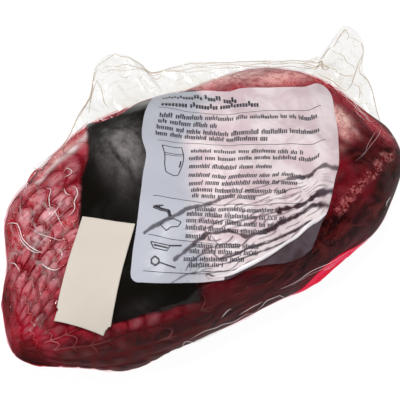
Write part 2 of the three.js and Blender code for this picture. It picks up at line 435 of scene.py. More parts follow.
def line_share(points, line, reach):
    """1 on a line through places and falling to 0 away from it, as a bell of the distance."""
    line = np.array(line, float)
    nearest = np.full(points.shape[:-1], np.inf)
    for start, end in zip(line[:-1], line[1:]):
        share = np.clip(((points - start) @ (end - start)) / ((end - start) ** 2).sum(), 0, 1)
        away = np.linalg.norm(points - start - share[..., None] * (end - start), axis=-1)
        nearest = np.minimum(nearest, away)
    return np.exp(-((nearest / reach) ** 2))


def cell_tone(around, along):
    """A number from 0 to 1 for each cell of the net: the part after the point of a large sine."""
    return np.modf(np.abs(437.5 * np.sin(12.9 * np.floor(around) + 78.2 * np.floor(along))))[0]


# strength, place and reach of: pale bloom, darkness, meat without cushions, fat, raw red; the
# darkness is the juice's colour and painted shade, low on the front, below and at the right end
PALE = [(1.0, (-96, 16, 72), (28, 40, 30)), (0.7, (-118, -12, 62), (24, 22, 22)),
        (0.9, (96, 4, 70), (8, 12, 14)),
        (1.1, (50, 66, 68), (66, 16, 24)), (0.35, (-72, -74, 44), (34, 12, 22)),
        (0.3, (0, 20, 88), (90, 60, 30))]
DARK = [(1.3, (60, -66, 40), (100, 26, 50)), (1.4, (134, -14, 40), (34, 46, 52)),
        (1.2, (-40, -80, 38), (56, 18, 34)),
        (1.7, (-88, -77, 31), (46, 22, 24)), (1.0, (-136, -52, 20), (22, 30, 18)),
        (0.8, (0, 0, 0), (150, 90, 24)),
        (0.95, (98, -22, 70), (24, 17, 20)), (0.75, (112, -6, 60), (24, 24, 20)),
        (0.6, (78, -34, 72), (20, 16, 16)),
        (1.1, (104, -44, 44), (34, 30, 30)), (1.3, (-112, -70, 36), (24, 18, 18))]
RIM = [(1.0, (-136, 2, 42), (9, 44, 40)), (0.9, (-122, 26, 50), (12, 18, 26)),
       (1.0, (138, 0, 40), (12, 60, 50))]
SMOOTH = [(0.95, (112, -4, 62), (34, 60, 40)), (1.0, (60, 66, 66), (70, 20, 24)),
          (0.6, (-56, 62, 70), (20, 14, 16))]
FAT = [(1.3, (97, 9, 70), (7, 10, 12)), (1.0, (92, -5, 70), (3.4, 6, 8)),
       (0.8, (101, -4, 67), (2.8, 5, 8)),
       (0.7, (85, -15, 72), (5, 3.5, 6)), (1.1, (80, 55, 68), (26, 9, 12)),
       (0.9, (48, 68, 72), (30, 9, 10)),
       (1.1, (4, 76, 70), (26, 9, 9)), (0.6, (-66, 56, 72), (12, 5, 8))]
RED = [(1.0, (82, 46, 71), (10, 5, 8)), (1.0, (-50, 70, 67), (8, 8, 10)),
       (0.9, (-120, 26, 54), (9, 26, 24)),
       (0.8, (-88, 3, 76), (6, 6, 6)), (0.7, (-101, 31, 69), (6, 5, 6)),
       (0.6, (-93, -12, 75), (5, 6, 6))]
MARBLED = [(120, -21, 54), (111, -24, 58), (103, -30, 61), (94, -36, 65), (84, -40, 66),
           (78, -44, 67), (71, -48, 67), (63, -52, 68)]
RAGGED = [(103, 49, 62), (107, 42, 62), (113, 36, 58), (117, 26, 56), (121, 14, 54), (123, 4, 54),
          (124, -2, 53)]
# how far from their lines the marbling, the ragged edge and the seam reach, and how far the ragged
# edge keeps the darkness away
MARBLED_REACH, RAGGED_REACH, SEAM_REACH, RAGGED_CLEARS = 3.8, 8.0, 7.0, 13
RAGGED_CORNER = ((119, 42, 52), (14, 18, 13))
JUICE_HOLLOW = ((57, -64, 18), (24, 22, 20))
SLOPE_SEAM = [(-92, 47, 67), (-80, 54, 69), (-70, 60, 69), (-60, 65, 69), (-53, 68, 68),
              (-48, 72, 67)]

latitude, angle = shell_places(MEAT_ROWS, MEAT_RING)
meat_lobes = np.concatenate([LOBES, DRAWN_IN])
around, along = net_cells(latitude, angle)
near_tip = np.clip(np.cos(latitude) * 2.4 - 0.35, 0, 1)
cushion = np.abs(np.sin(np.pi * around)) ** near_tip * np.abs(np.sin(np.pi * along))
cushion = cushion ** CUSHION_ROUNDNESS
even_meat = pack_form(latitude, angle, meat_lobes)
# dark: where the meat takes the juice's colour and painted shade; it smooths the cushions too
dark = np.clip(patches(even_meat, *DARK), 0, 1) * (1 - patches(even_meat, *PALE[2:4]).clip(0, 1))
rightward = np.clip((even_meat[..., 0] - SMOOTH_FROM_X) / SMOOTH_OVER_X, 0, 1)
smooth = np.maximum(SMOOTH_BY_DARK * dark * rightward, patches(even_meat, *SMOOTH))
smooth = np.clip(smooth, 0, SMOOTH_MOST)
cushion = cushion * (1 - smooth) + SMOOTH_CUSHION * smooth
tone = cell_tone(around, along) * (1 - smooth)
marbled = line_share(even_meat, MARBLED, MARBLED_REACH)
marbled = marbled * np.clip(0.75 + 0.6 * ripples(even_meat, 8, 11), 0, 1)
ragged = np.maximum(line_share(even_meat, RAGGED, RAGGED_REACH), bell(even_meat, *RAGGED_CORNER))
plumpness = 0.62 + 0.24 * tone + 0.2 * ripples(even_meat, 26, 3)
level = (-MEAT_DEPTH + SMOOTH_DEPTH * smooth
         + CUSHION * (1 - SMOOTH_SHARE * smooth) * cushion * plumpness)
level = level + RAISED * patches(even_meat, *RIM) + 0.3 * ripples(even_meat, 6, 4) * cushion
level = level + (0.5 * marbled + 0.6 * ragged) * ripples(even_meat, 4.5, 12)
flank = np.clip((FLANK_TOP - even_meat[..., 2]) / FLANK_OVER, 0, 1)
flank = flank * (1 - bell(even_meat, *JUICE_HOLLOW))
highest = HIGHEST_MEAT + (HIGHEST_FLANK - HIGHEST_MEAT) * flank
level = np.minimum(level + FLANK_RAISED * flank, highest)
meat = even_meat + pack_normal(latitude, angle) * level[..., None]
meat[..., 2] = np.maximum(meat[..., 2], LOWEST_MEAT)
cleared = 0.9 * np.clip(1.4 * line_share(even_meat, RAGGED, RAGGED_CLEARS), 0, 1)
raw_red = np.maximum(ragged, line_share(meat, SLOPE_SEAM, SEAM_REACH))
fields = {
    "cushion": cushion, "tone": tone, "dark": dark * (1 - cleared), "marbled": marbled,
    "pale": np.clip(patches(meat, *PALE), 0, 1), "fat": np.clip(patches(meat, *FAT), 0, 1),
    "red": np.clip(np.maximum(patches(meat, *RED), raw_red), 0, 1),
}

meat_look = Look("meat")
cells, darkness = meat_look.mark("cushion"), meat_look.mark("dark")
# the noises: fine grain, slow blotches, fuzz, lumps, streaks, mottling, crumbs and long fibres
grain = meat_look.noise(620, 5, 0.62, meat_look.here((1, 2.4, 1.8), (0, 0.3, 0.5)))
blotch = meat_look.noise(85, 4, 0.6, None, 0.8)
fuzz = meat_look.noise(100, 5, 0.66, meat_look.here((1, 1.4, 1.2), (0.2, 0, 0.45)), 1.6)
lumps = meat_look.noise(210, 4, 0.6, None, 1.2)
streak = meat_look.noise(190, 4, 0.6, meat_look.here((0.2, 1, 1), (0, 0, 0.06)), 0.6)
mottle = meat_look.noise(95, 4, 0.62, meat_look.here((0.5, 1, 1), (0, 0, 0.1)), 1.2)
crumbs = meat_look.noise(370, 4, 0.65, None, 1.6)
fibres = meat_look.noise(380, 3, 0.5, meat_look.here((1, 0.6, 1), (0, 0, 0.8)), 2.5)
# red muscle, muted most in the cells of the highest tone, with a bloom where the meat is pale
muscle = meat_look.blend(meat_look.ramp(blotch, (0.42, 0), (0.58, 1)), (0.12, 0.0012, 0.009),
                         (0.31, 0.011, 0.034))
muted = meat_look.maths("MULTIPLY", meat_look.ramp(cells, (0.45, 0), (0.9, 0.8)),
                        meat_look.mark("tone"))
muscle = meat_look.blend(muted, muscle, (0.25, 0.070, 0.088))
bloom = meat_look.maths("MULTIPLY", meat_look.ramp(cells, (0.2, 0), (0.8, 1)),
                        meat_look.ramp(fuzz, (0.36, 0), (0.58, 1)))
bloom = meat_look.maths("MULTIPLY", bloom, meat_look.mark("pale"))
bloom = meat_look.maths("MULTIPLY", bloom,
                        meat_look.ramp(meat_look.mark("tone"), (0.0, 0.5), (0.7, 1)))
muscle = meat_look.blend(bloom, muscle, (0.82, 0.57, 0.58))
muscle = meat_look.blend(meat_look.ramp(grain, (0.45, 0), (0.72, 0.25)), muscle, (0.55, 0.09, 0.11))
# crumbled raw edges
raw = meat_look.blend(meat_look.ramp(crumbs, (0.42, 0), (0.60, 1)), (0.26, 0.001, 0.009),
                      (0.66, 0.024, 0.050))
raw = meat_look.blend(meat_look.ramp(fibres, (0.54, 0), (0.59, 0.85)), raw, (0.74, 0.42, 0.40))
muscle = meat_look.blend(meat_look.maths("MULTIPLY", meat_look.mark("red"), 0.9), muscle, raw)
# fat, and the dark red of the furrows
fatty = meat_look.blend(meat_look.ramp(lumps, (0.38, 0), (0.52, 1)), (0.56, 0.24, 0.22),
                        (0.88, 0.64, 0.56))
fatted = meat_look.maths("MULTIPLY", meat_look.mark("fat"),
                         meat_look.ramp(fuzz, (0.34, 0.45), (0.45, 1)))
muscle = meat_look.blend(fatted, muscle, fatty)
muscle = meat_look.blend(meat_look.ramp(cells, (0.0, 0.9), (0.3, 0)), muscle, (0.19, 0.001, 0.011))
# the dark side: the juice's colour with painted shade, where the meat faces away from the light
shadowed = meat_look.blend(meat_look.ramp(streak, (0.42, 0), (0.62, 1)), (0.010, 0.0012, 0.0012),
                           (0.066, 0.008, 0.008))
shadowed = meat_look.blend(meat_look.ramp(mottle, (0.52, 0), (0.61, 0.8)), shadowed,
                           (0.105, 0.017, 0.015))
shadowed = meat_look.blend(meat_look.maths("MULTIPLY", muted, 0.9), shadowed, (0.115, 0.036, 0.040))
shadowed = meat_look.blend(meat_look.ramp(cells, (0.2, 0.7), (0.6, 0)), shadowed,
                           (0.10, 0.002, 0.005))
muscle = meat_look.blend(meat_look.ramp(darkness, (0.08, 0), (0.8, 1)), muscle, shadowed)
# the marbled band
marbling = meat_look.blend(meat_look.ramp(crumbs, (0.45, 0), (0.56, 1)), (0.13, 0.003, 0.007),
                           (0.50, 0.22, 0.21))
marbling = meat_look.blend(meat_look.ramp(lumps, (0.42, 0.85), (0.52, 0)), marbling,
                           (0.10, 0.003, 0.006))
muscle = meat_look.blend(meat_look.ramp(meat_look.mark("marbled"), (0.15, 0), (0.6, 0.95)), muscle,
                         marbling)
meat_skin = meat_look.add(
    "BsdfPrincipled", Base_Color=muscle, Roughness=0.5, Specular_IOR_Level=0.04,
    Subsurface_Weight=0.1,
    Subsurface_Radius=(1.0, 0.25, 0.18), Subsurface_Scale=0.002,
    Normal=meat_look.bump(grain, 0.0005, 0.45, meat_look.bump(fuzz, 0.0012, 0.35)),
)
meat_object = object_from(
    "meat", closed_shell(meat), shell_faces(MEAT_ROWS, MEAT_RING), meat_look.finish(meat_skin),
    {name: with_tips(values) for name, values in fields.items()},
)
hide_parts("lamb_pack")

# ---------------------------------------------------------------------------------------------
# The netting: elastic cords, knitted together where the hoops cross the long ones and stained by
# the juice, and darkened by painted shade where the meat is dark. It is drawn tight round the leg
# and lies in the furrows between the cushions.
# ---------------------------------------------------------------------------------------------
CORD_RADIUS, CORD_DEPTH, CORD_STEPS, HOOP_STEPS = 0.38, 1.6, 240, 408
SUNK_IN_SMOOTH = 1.8
STRETCHED_THIN, CORD_FROM, CORD_TO = 0.5, 0.09, 0.90
STRETCHED_AT = ((-92, 18, 74), (30, 40, 24))
SUNK_BY_SMOOTH, SUNK_OVER_X, LOWEST_CORD, CORD_SIDES, SETTLING = 1.5, 30, 0.9, 4, 16
cord_turn = np.linspace(0, 2 * np.pi, CORD_SIDES, endpoint=False) + np.pi / 4
CORD_PROFILE = CORD_RADIUS * np.stack([np.cos(cord_turn), np.sin(cord_turn)], -1)


def sweep(path, out, profile, scale=1.0):
    """Carries a closed profile along each path. Its first number goes sideways, its second goes
    out, and both are multiplied by the scale at each step."""
    side = unit(np.cross(np.gradient(path, axis=-2), out))
    scale = np.asarray(scale, float)[..., None, None]
    section = profile[:, :1] * side[..., None, :] + profile[:, 1:] * out[..., None, :]
    return path[..., None, :] + scale * section


def sweep_faces(paths, steps, sides):
    """Quads along each swept path, and a cap at each of its ends. They face outwards where the
    profile runs anticlockwise, its first number to the right and its second up."""
    index = np.arange(paths * steps * sides).reshape(paths, steps, sides)
    following = np.roll(index, -1, axis=2)
    quads = np.stack([index[:, :-1], index[:, 1:], following[:, 1:], following[:, :-1]], -1)
    quads = quads.reshape(-1, 4)
    return quads.tolist() + index[:, 0].tolist() + index[:, -1, ::-1].tolist()


def cord_points(latitude, angle):
    """The cords' swept points along lines on the leg, sunk into the furrows, and stretched thin
    where the net is wide."""
    path, out = pack_form(latitude, angle, meat_lobes), pack_normal(latitude, angle)
    size = 1 - STRETCHED_THIN * bell(path, *STRETCHED_AT)
    sunk = np.clip(SUNK_BY_SMOOTH * patches(path, *SMOOTH) + path[..., 0] / SUNK_OVER_X, 0, 1)
    path = path - out * (CORD_DEPTH + SUNK_IN_SMOOTH * sunk)[..., None]
    path[..., 2] = np.maximum(path[..., 2], LOWEST_CORD)
    return sweep(path, out, CORD_PROFILE, size).reshape(-1, 3)


long_latitude = np.interp(np.linspace(CORD_FROM, CORD_TO, CORD_STEPS) * run[-1], run,
                          tip_to_tip)[None]
long_even = np.arange(NET_AROUND)[:, None] * 2 * np.pi / NET_AROUND
long_angle = long_even + 0 * long_latitude
for _ in range(SETTLING):
    long_angle = long_even + sway(long_latitude, long_angle)
long_latitude = np.broadcast_to(long_latitude, long_angle.shape)
hoop_count = int(cells_from_tip[-1]) - 1
hoop_angle = np.linspace(-np.pi / 2, 1.5 * np.pi, HOOP_STEPS)[None]
hoop_latitude = np.interp(1.0 + np.arange(hoop_count)[:, None] + 0 * hoop_angle, cells_from_tip,
                          tip_to_tip)
for _ in range(SETTLING):
    hoop_kink = kink(NET_AROUND * (hoop_angle - sway(hoop_latitude, hoop_angle)) / (2 * np.pi))
    hoop_stray = wander(hoop_latitude, hoop_angle) + scallops(hoop_latitude) * hoop_kink
    hoop_latitude = np.interp(1.0 + np.arange(hoop_count)[:, None] - hoop_stray, cells_from_tip,
                              tip_to_tip)
hoop_angle = np.broadcast_to(hoop_angle, hoop_latitude.shape)
net_points = np.concatenate([cord_points(long_latitude, long_angle),
                             cord_points(hoop_latitude, hoop_angle)])
net_faces = sweep_faces(NET_AROUND, CORD_STEPS, CORD_SIDES)
first_hoop = NET_AROUND * CORD_STEPS * CORD_SIDES
net_faces += (np.array(sweep_faces(hoop_count, HOOP_STEPS, CORD_SIDES)) + first_hoop).tolist()

net_look = Look("netting")
cord_colour = net_look.blend(net_look.noise(240, 2), (0.42, 0.11, 0.11), (0.70, 0.36, 0.33))
# the stain is the juice's; where the meat is dark it deepens with painted shade
stained_and_shaded_colour = net_look.blend(net_look.mark("shade"), (0.20, 0.003, 0.010), (0.034, 0.005, 0.005))
cord_colour = net_look.blend(net_look.mark("stain"), cord_colour, stained_and_shaded_colour)
net_material = net_look.finish(net_look.add("BsdfPrincipled", Base_Color=cord_colour, Roughness=0.5,
                                            Specular_IOR_Level=0.1))
# where the cords are least stained
CLEAN = [(0.75, (-133, -30, 48), (16, 24, 34)), (1.0, (-94, 12, 74), (24, 28, 20)),
         (0.7, (114, 24, 60), (10, 30, 14))]
stain = np.clip(1.0 - 0.95 * patches(net_points, *CLEAN) + 0.35 * ripples(net_points, 24, 8), 0, 1)
object_from("netting", net_points, net_faces, net_material,
            {"stain": stain, "shade": np.clip(1.3 * patches(net_points, *DARK), 0, 1)})

# ---------------------------------------------------------------------------------------------
# The roll: a cut edge of the raw meat that has curled up on the left slope, under the film. It is
# a short rounded ridge that tapers to both ends and is pale along its rim.
# ---------------------------------------------------------------------------------------------
ROLL_STEPS, ROLL_HALF, ROLL_SINK = 28, 2.3, 0.6
ROLL_PROFILE = np.array([(-1, -0.2), (-0.7, 0.55), (0, 0.8), (0.7, 0.55), (1, -0.2), (0, -0.6)])
roll_at = np.linspace(0, 1, ROLL_STEPS)
roll_knots = np.array([(0, -0.665, 22.0), (0.33, -0.640, 21.0), (0.66, -0.612, 21.5),
                       (1, -0.590, 28.0)])
roll_latitude, roll_angle = (np.interp(roll_at, roll_knots[:, 0], roll_knots[:, i]) for i in (1, 2))
roll_out = pack_normal(roll_latitude, np.radians(roll_angle))
roll_path = pack_form(roll_latitude, np.radians(roll_angle)) - ROLL_SINK * roll_out
roll_size = ROLL_HALF * np.sin(np.pi * np.clip(roll_at, 0.06, 0.94)) ** 0.5
roll_look = Look("meat_roll")
roll_fibre = roll_look.noise(300, 4, 0.6, None, 1.0)
roll_red = roll_look.blend(roll_look.ramp(roll_fibre, (0.4, 0), (0.65, 1)), (0.20, 0.002, 0.010),
                           (0.44, 0.030, 0.050))
roll_red = roll_look.blend(roll_look.ramp(roll_look.mark("rim"), (0.55, 0), (0.9, 0.85)), roll_red,
                           (0.78, 0.50, 0.48))
roll_rim = np.tile(np.clip(ROLL_PROFILE[:, 1], 0, 1), ROLL_STEPS)
object_from("meat_roll", sweep(roll_path, roll_out, ROLL_PROFILE, roll_size).reshape(-1, 3),
            sweep_faces(1, ROLL_STEPS, len(ROLL_PROFILE)),
            roll_look.finish(roll_look.add("BsdfPrincipled", Base_Color=roll_red, Roughness=0.35,
                                           Coat_Weight=0.3,
                                           Normal=roll_look.bump(roll_fibre, 0.0004, 0.4))),
            {"rim": roll_rim})

# ---------------------------------------------------------------------------------------------
# The film: the clear bag, drawn down on the meat by the vacuum. It spans the furrows, and on the
# flanks its spare width stands up a little in narrow folds.
# ---------------------------------------------------------------------------------------------
FILM_ROWS, FILM_RING = 280, 336
LOOSE_LEFT, LOOSE_RIGHT = ((-112, 10, 60), (34, 40, 30)), ((116, 22, 60), (20, 24, 26))
GLARE_PLACE = ((-108, 10, 64), (24, 34, 26))
FILM_IOR, VEIL_COLOUR = 1.33, (0.92, 0.85, 0.84)


def looseness(points):
    """How loose the film is, from 0 to about 1: over the left lobe and at the back of the right
    end, each a bell."""
    return bell(points, *LOOSE_LEFT) + bell(points, *LOOSE_RIGHT)


def film_lift(points):
    """How far the film lies above the even form: low waves, and on the flanks narrow folds along
    the zero lines of an irregular wave."""
    fold = np.maximum(1 - np.abs(ripples(points, 60, 21)) * 7, 0) ** 2
    flank = 1 - np.clip((points[..., 2] - 50) / 22, 0, 1)
    return (0.14 * ripples(points, 17, 23) - 0.1 + 0.5 * fold * flank
            + looseness(points) * (0.45 * ripples(points, 11, 24)
                                   + 0.12 * ripples(points, 5.5, 25)))


def on_film(latitude, angle, lift=0.0):
    """Places on the film, moved out by a lift, with the outward normal."""
    latitude, angle = np.broadcast_arrays(latitude, angle)
    out = pack_normal(latitude, angle)
    points = pack_form(latitude, angle)
    points = points + out * (film_lift(points) + lift)[..., None]
    points[..., 2] = np.maximum(points[..., 2], 0.0)
    return points, out


latitude, angle = shell_places(FILM_ROWS, FILM_RING)
film, _ = on_film(latitude, angle)
SLOPE_STRIP = [(-92, 42, 69), (-86, 46, 70), (-77, 49, 72), (-69, 50, 74), (-60, 55, 74),
               (-50, 63, 72)]
milk = 0.22 * bell(film, (52, 74, 62), (60, 10, 16)) + 0.2 * bell(film, (-84, 58, 60), (26, 8, 14))
milk = np.clip(milk + 0.5 * line_share(film, SLOPE_STRIP, 2.6) * (0.8 + 0.4 * ripples(film, 9, 26)),
               0, 0.6)
# the place of the painted glare on the left lobe; it also raises the film's real gloss there
glare_at = np.clip(bell(film, *GLARE_PLACE), 0, 1)
shine = np.clip(0.022 + 0.2 * glare_at + 0.04 * looseness(film), 0, 0.2)


def film_shader(look, tint, milk=None, creasing=0.5, rough=0.06, mirror=0.30, most=0.14):
    """Clear film: what is behind shows through its tint, it mirrors by Fresnel's law up to a
    share, and it turns milky white by the milk share: stretched film, and on the pleats and in the
    clear film's glare a painted highlight."""
    swell_wave = look.noise(55, 2, 0.5, None, 1.2)
    crease = look.ramp(look.noise(130, 3, 0.5, None, 1.2), (0.45, 0), (0.5, 1), (0.55, 0))
    normal = look.bump(swell_wave, 0.0016, creasing)
    normal = look.bump(crease, 0.0003, creasing, normal)
    clear = look.add("BsdfTransparent", Color=tint)
    gloss = look.add("BsdfGlossy", Color=(mirror,) * 3, Roughness=rough, Normal=normal)
    share = look.maths("MINIMUM", look.add("Fresnel", IOR=FILM_IOR, Normal=normal), most)
    mixed = look.add("MixShader", in0=share, in1=clear, in2=gloss)
    if milk is not None:
        veil = look.add("BsdfDiffuse", Color=VEIL_COLOUR, Normal=normal)
        mixed = look.add("MixShader", in0=milk, in1=mixed, in2=veil)
    return mixed


# where juice has wetted the film's inside most, and where the film is dry
WET = [(1.0, (-136, 2, 42), (8, 44, 40)), (0.8, (-122, 26, 50), (10, 16, 26)),
       (0.6, (57, -64, 18), (22, 14, 16)), (1.0, (-132, -44, 26), (14, 26, 26))]
DRY = [(1.0, (50, 72, 62), (76, 16, 26)), (0.8, (97, 6, 72), (9, 14, 12)),
       (0.9, (-80, 56, 62), (30, 12, 20)),
       (0.5, (-96, 22, 74), (22, 26, 14)), (1.2, (-50, -84, 22), (64, 26, 26)),
       (1.3, (124, -30, 34), (36, 44, 34)), (1.2, (136, 14, 40), (22, 50, 40))]
WET_ALL_OVER = 0.3
wet = np.clip(np.maximum(WET_ALL_OVER * (1 - patches(film, *DRY)), patches(film, *WET)), 0, 1)
film_look = Look("clear_film")
# painted glare: pale milky smears on the left lobe that stand in for reflected light
glare = film_look.noise(125, 4, 0.6, film_look.here((1, 0.55, 1), (0, 0, 0.7)), 1.2)
glare = film_look.ramp(glare, (0.50, 0), (0.66, 0.26))
milk_mark = film_look.mark("milk")
glare = film_look.maths("MULTIPLY", glare, film_look.mark("glare"))
film_milk_and_glare = film_look.maths("MAXIMUM", milk_mark, glare)
film_tint = film_look.ramp(film_look.mark("wet"), (0.0, (0.985, 0.98, 0.975)),
                           (0.5, (0.95, 0.60, 0.66)), (1.0, (0.55, 0.025, 0.06)))
object_from("film", closed_shell(film), shell_faces(FILM_ROWS, FILM_RING),
            film_look.finish(film_shader(film_look, film_tint, film_milk_and_glare, 0.55,
                                         most=film_look.mark("shine"))),
            {"milk": with_tips(milk), "wet": with_tips(wet),
                           "shine": with_tips(shine),
                           "glare": with_tips(glare_at)})

# ---------------------------------------------------------------------------------------------
# The juice: a pocket of it has gathered between the meat and the film low on the right of the
# front, and light shines through it. It is a closed lens that thins out to its edges.
# ---------------------------------------------------------------------------------------------
JUICE_FROM, JUICE_TO, JUICE_STEPS = (0.20, 3.16), (0.58, 3.95), (90, 70)
JUICE_UNDER_FILM, JUICE_OVER_MEAT, JUICE_FULLNESS, JUICE_THINNEST = 0.30, 0.30, 2.2, 0.04


def closed_sheet(top, bottom):
    """A thin closed solid from two grids: its faces over, under and round its four edges."""
    rows, cols = top.shape[:2]
    upper = np.arange(rows * cols).reshape(rows, cols)
    lower = upper + rows * cols
    quads = [
        np.stack([upper[:-1, :-1], upper[1:, :-1], upper[1:, 1:], upper[:-1, 1:]], -1),
        np.stack([lower[:-1, :-1], lower[:-1, 1:], lower[1:, 1:], lower[1:, :-1]], -1),
    ]
    rim = np.concatenate([upper[:, 0], upper[-1, 1:], upper[-2::-1, -1], upper[0, -2:0:-1]])
    after = np.roll(rim, -1)
    quads.append(np.stack([rim, rim + rows * cols, after + rows * cols, after], -1))
    faces = np.concatenate([q.reshape(-1, 4) for q in quads])
    return np.concatenate([top.reshape(-1, 3), bottom.reshape(-1, 3)]), faces.tolist()


latitude = np.linspace(JUICE_FROM[0], JUICE_TO[0], JUICE_STEPS[0])[:, None]
angle = np.linspace(JUICE_FROM[1], JUICE_TO[1], JUICE_STEPS[1])[None]
middle_share = (np.sin(np.pi * np.linspace(0, 1, JUICE_STEPS[0]))[:, None]
                * np.sin(np.pi * np.linspace(0, 1, JUICE_STEPS[1]))[None])
juice_depth = np.clip(middle_share * JUICE_FULLNESS, 0, 1)
juice_top, juice_out = on_film(latitude, angle, -JUICE_UNDER_FILM)
juice_floor = pack_form(latitude, angle, meat_lobes) - juice_out * JUICE_OVER_MEAT
gap = np.maximum(((juice_top - juice_floor) * juice_out).sum(-1), 0.05)
juice_low = juice_top - juice_out * (gap * juice_depth + JUICE_THINNEST)[..., None]
juice_low[..., 2] = np.maximum(juice_low[..., 2], 0.1)
juice_top[..., 2] = np.maximum(juice_top[..., 2], 0.15)
juice_points, juice_faces = closed_sheet(juice_low, juice_top)
juice_look = Look("juice")
juice_tint = juice_look.blend(juice_look.mark("deep"), (0.99, 0.80, 0.84), (0.92, 0.10, 0.26))
object_from("juice_pocket", juice_points, juice_faces,
            juice_look.finish(film_shader(juice_look, juice_tint, None, 0.1, 0.05, 0.3, 0.05)),
            {"deep": np.concatenate([juice_depth.ravel()] * 2)})

# ---------------------------------------------------------------------------------------------
# The empty margin: the width of the bag that holds no meat. The vacuum has drawn its two sides
# together, and it stands away from the leg's back edge as one crumpled sheet.
# ---------------------------------------------------------------------------------------------
MARGIN_RIM = np.array([
    [-89, 68], [-66, 77], [-50, 91], [-36, 104], [-24, 121], [-9, 127], [4, 116], [11, 107],
    [39, 103],
    [61, 94], [104, 78], [118, 72], [143, 83], [147, 66], [138, 48], [136, 33], [129, 7],
], float)
MARGIN_MIDDLE = np.array([25.0, 5.0])
MARGIN_ROOT_HEIGHT, MARGIN_RISE, MARGIN_INSET, SHEET_THICKNESS = 44.0, 0.3, 0.9, 0.5
MARGIN_WAVE, WAVE_COUNT, SLOW_COUNT, WAVE_SLANT = 1.1, 9, 4.7, 5
MARGIN_STEPS_ALONG, MARGIN_STEPS_OUT = 420, 64


def rim_place(along):
    """The margin's rim: a centripetal Catmull-Rom curve through its points, whose steps in time
    are the fourth roots of the squared distances."""
    points = np.concatenate([2 * MARGIN_RIM[:1] - MARGIN_RIM[1:2], MARGIN_RIM,
                             2 * MARGIN_RIM[-1:] - MARGIN_RIM[-2:-1]])
    place = np.clip(along, 0, 1) * (len(MARGIN_RIM) - 1)
    k = np.minimum(place.astype(int), len(MARGIN_RIM) - 2)
    w = (place - k)[..., None]
    a, b, c, d = (points[k + i] for i in range(4))
    t0, t1, t2 = (np.sqrt(np.linalg.norm(q - p, axis=-1, keepdims=True))
                  for p, q in ((a, b), (b, c), (c, d)))
    leave = ((b - a) / t0 - (c - a) / (t0 + t1) + (c - b) / t1) * t1
    arrive = ((c - b) / t1 - (d - b) / (t1 + t2) + (d - c) / t2) * t1
    return (b + leave * w + (3 * (c - b) - 2 * leave - arrive) * w**2
            + (2 * (b - c) + leave + arrive) * w**3)


def edge_share(target):
    """How far out from the margin's middle the meat reaches towards a target: by halving."""
    inside, outside = np.zeros(len(target)), np.ones(len(target))
    for _ in range(24):
        share = (inside + outside) / 2
        x, y = (MARGIN_MIDDLE + (target - MARGIN_MIDDLE) * share[:, None]).T
        end = np.clip(np.abs(2 * x / LEG_LENGTH), 0, 1)
        full = (1 - end**END_SQUARENESS) ** (1 / END_SQUARENESS)
        middle, half_width, _, _, _ = cross_section(np.clip(2 * x / LEG_LENGTH, -1, 1), full)
        within = (end < 1) & (np.abs(y - middle) < half_width)
        inside, outside = np.where(within, share, inside), np.where(within, outside, share)
    return inside


def margin_points(along, out, lift=0.0):
    """A place of the margin: along its rim, and out from inside the meat to the rim. It climbs
    with the distance from its root and waves more towards the rim."""
    along, out = np.broadcast_arrays(np.asarray(along, float), np.asarray(out, float))
    rim = rim_place(along.ravel())
    share = edge_share(rim) * MARGIN_INSET
    root = MARGIN_MIDDLE + (rim - MARGIN_MIDDLE) * share[:, None]
    flat = root + (rim - root) * out.ravel()[:, None]
    turns = 2 * np.pi * along.ravel()
    wave = np.sin(WAVE_COUNT * turns) + np.sin(SLOW_COUNT * turns + WAVE_SLANT * out.ravel())
    height = (MARGIN_ROOT_HEIGHT + MARGIN_RISE * np.linalg.norm(flat - root, axis=1)
              + MARGIN_WAVE * out.ravel() * wave)
    points = np.concatenate([flat, height[:, None]], 1).reshape(*along.shape, 3)
    crumple = 0.5 * ripples(points, 16, 31) + 0.22 * ripples(points, 6, 32)
    points[..., 2] += crumple * np.clip(out * 3, 0, 1) + lift
    return points


along = np.linspace(0, 1, MARGIN_STEPS_ALONG)[:, None]
out = np.linspace(0, 1, MARGIN_STEPS_OUT)[None]
margin_top = margin_points(along, out, SHEET_THICKNESS / 2)
margin_bottom = margin_points(along, out, -SHEET_THICKNESS / 2)
sheet_points, sheet_faces = closed_sheet(margin_top, margin_bottom)
tint = np.clip((1.25 - out * 1.7) * (0.75 + 0.25 * np.sin(11 * along + 1)), 0, 1)
margin_look = Look("margin_film")
margin_tint = margin_look.blend(margin_look.mark("near"), (0.955, 0.953, 0.948), (0.88, 0.86, 0.82))
wrinkle = margin_look.ramp(margin_look.noise(48, 4, 0.55, None, 1.6), (0.487, 0), (0.5, 0.6),
                           (0.513, 0))
margin_tint = margin_look.blend(wrinkle, margin_tint, (0.82, 0.78, 0.70))
object_from("empty_margin", sheet_points, sheet_faces,
            margin_look.finish(film_shader(margin_look, margin_tint, 0.025, 0.15, 0.1)),
            {"near": np.concatenate([tint.ravel(), tint.ravel()])})

# Its creases: fine doubled lines of film, darker than the sheet.
CREASE_STEPS, CREASE_FLAT = 40, np.array([(-1, 0), (0, 0.8), (1, 0), (0, -0.8)])
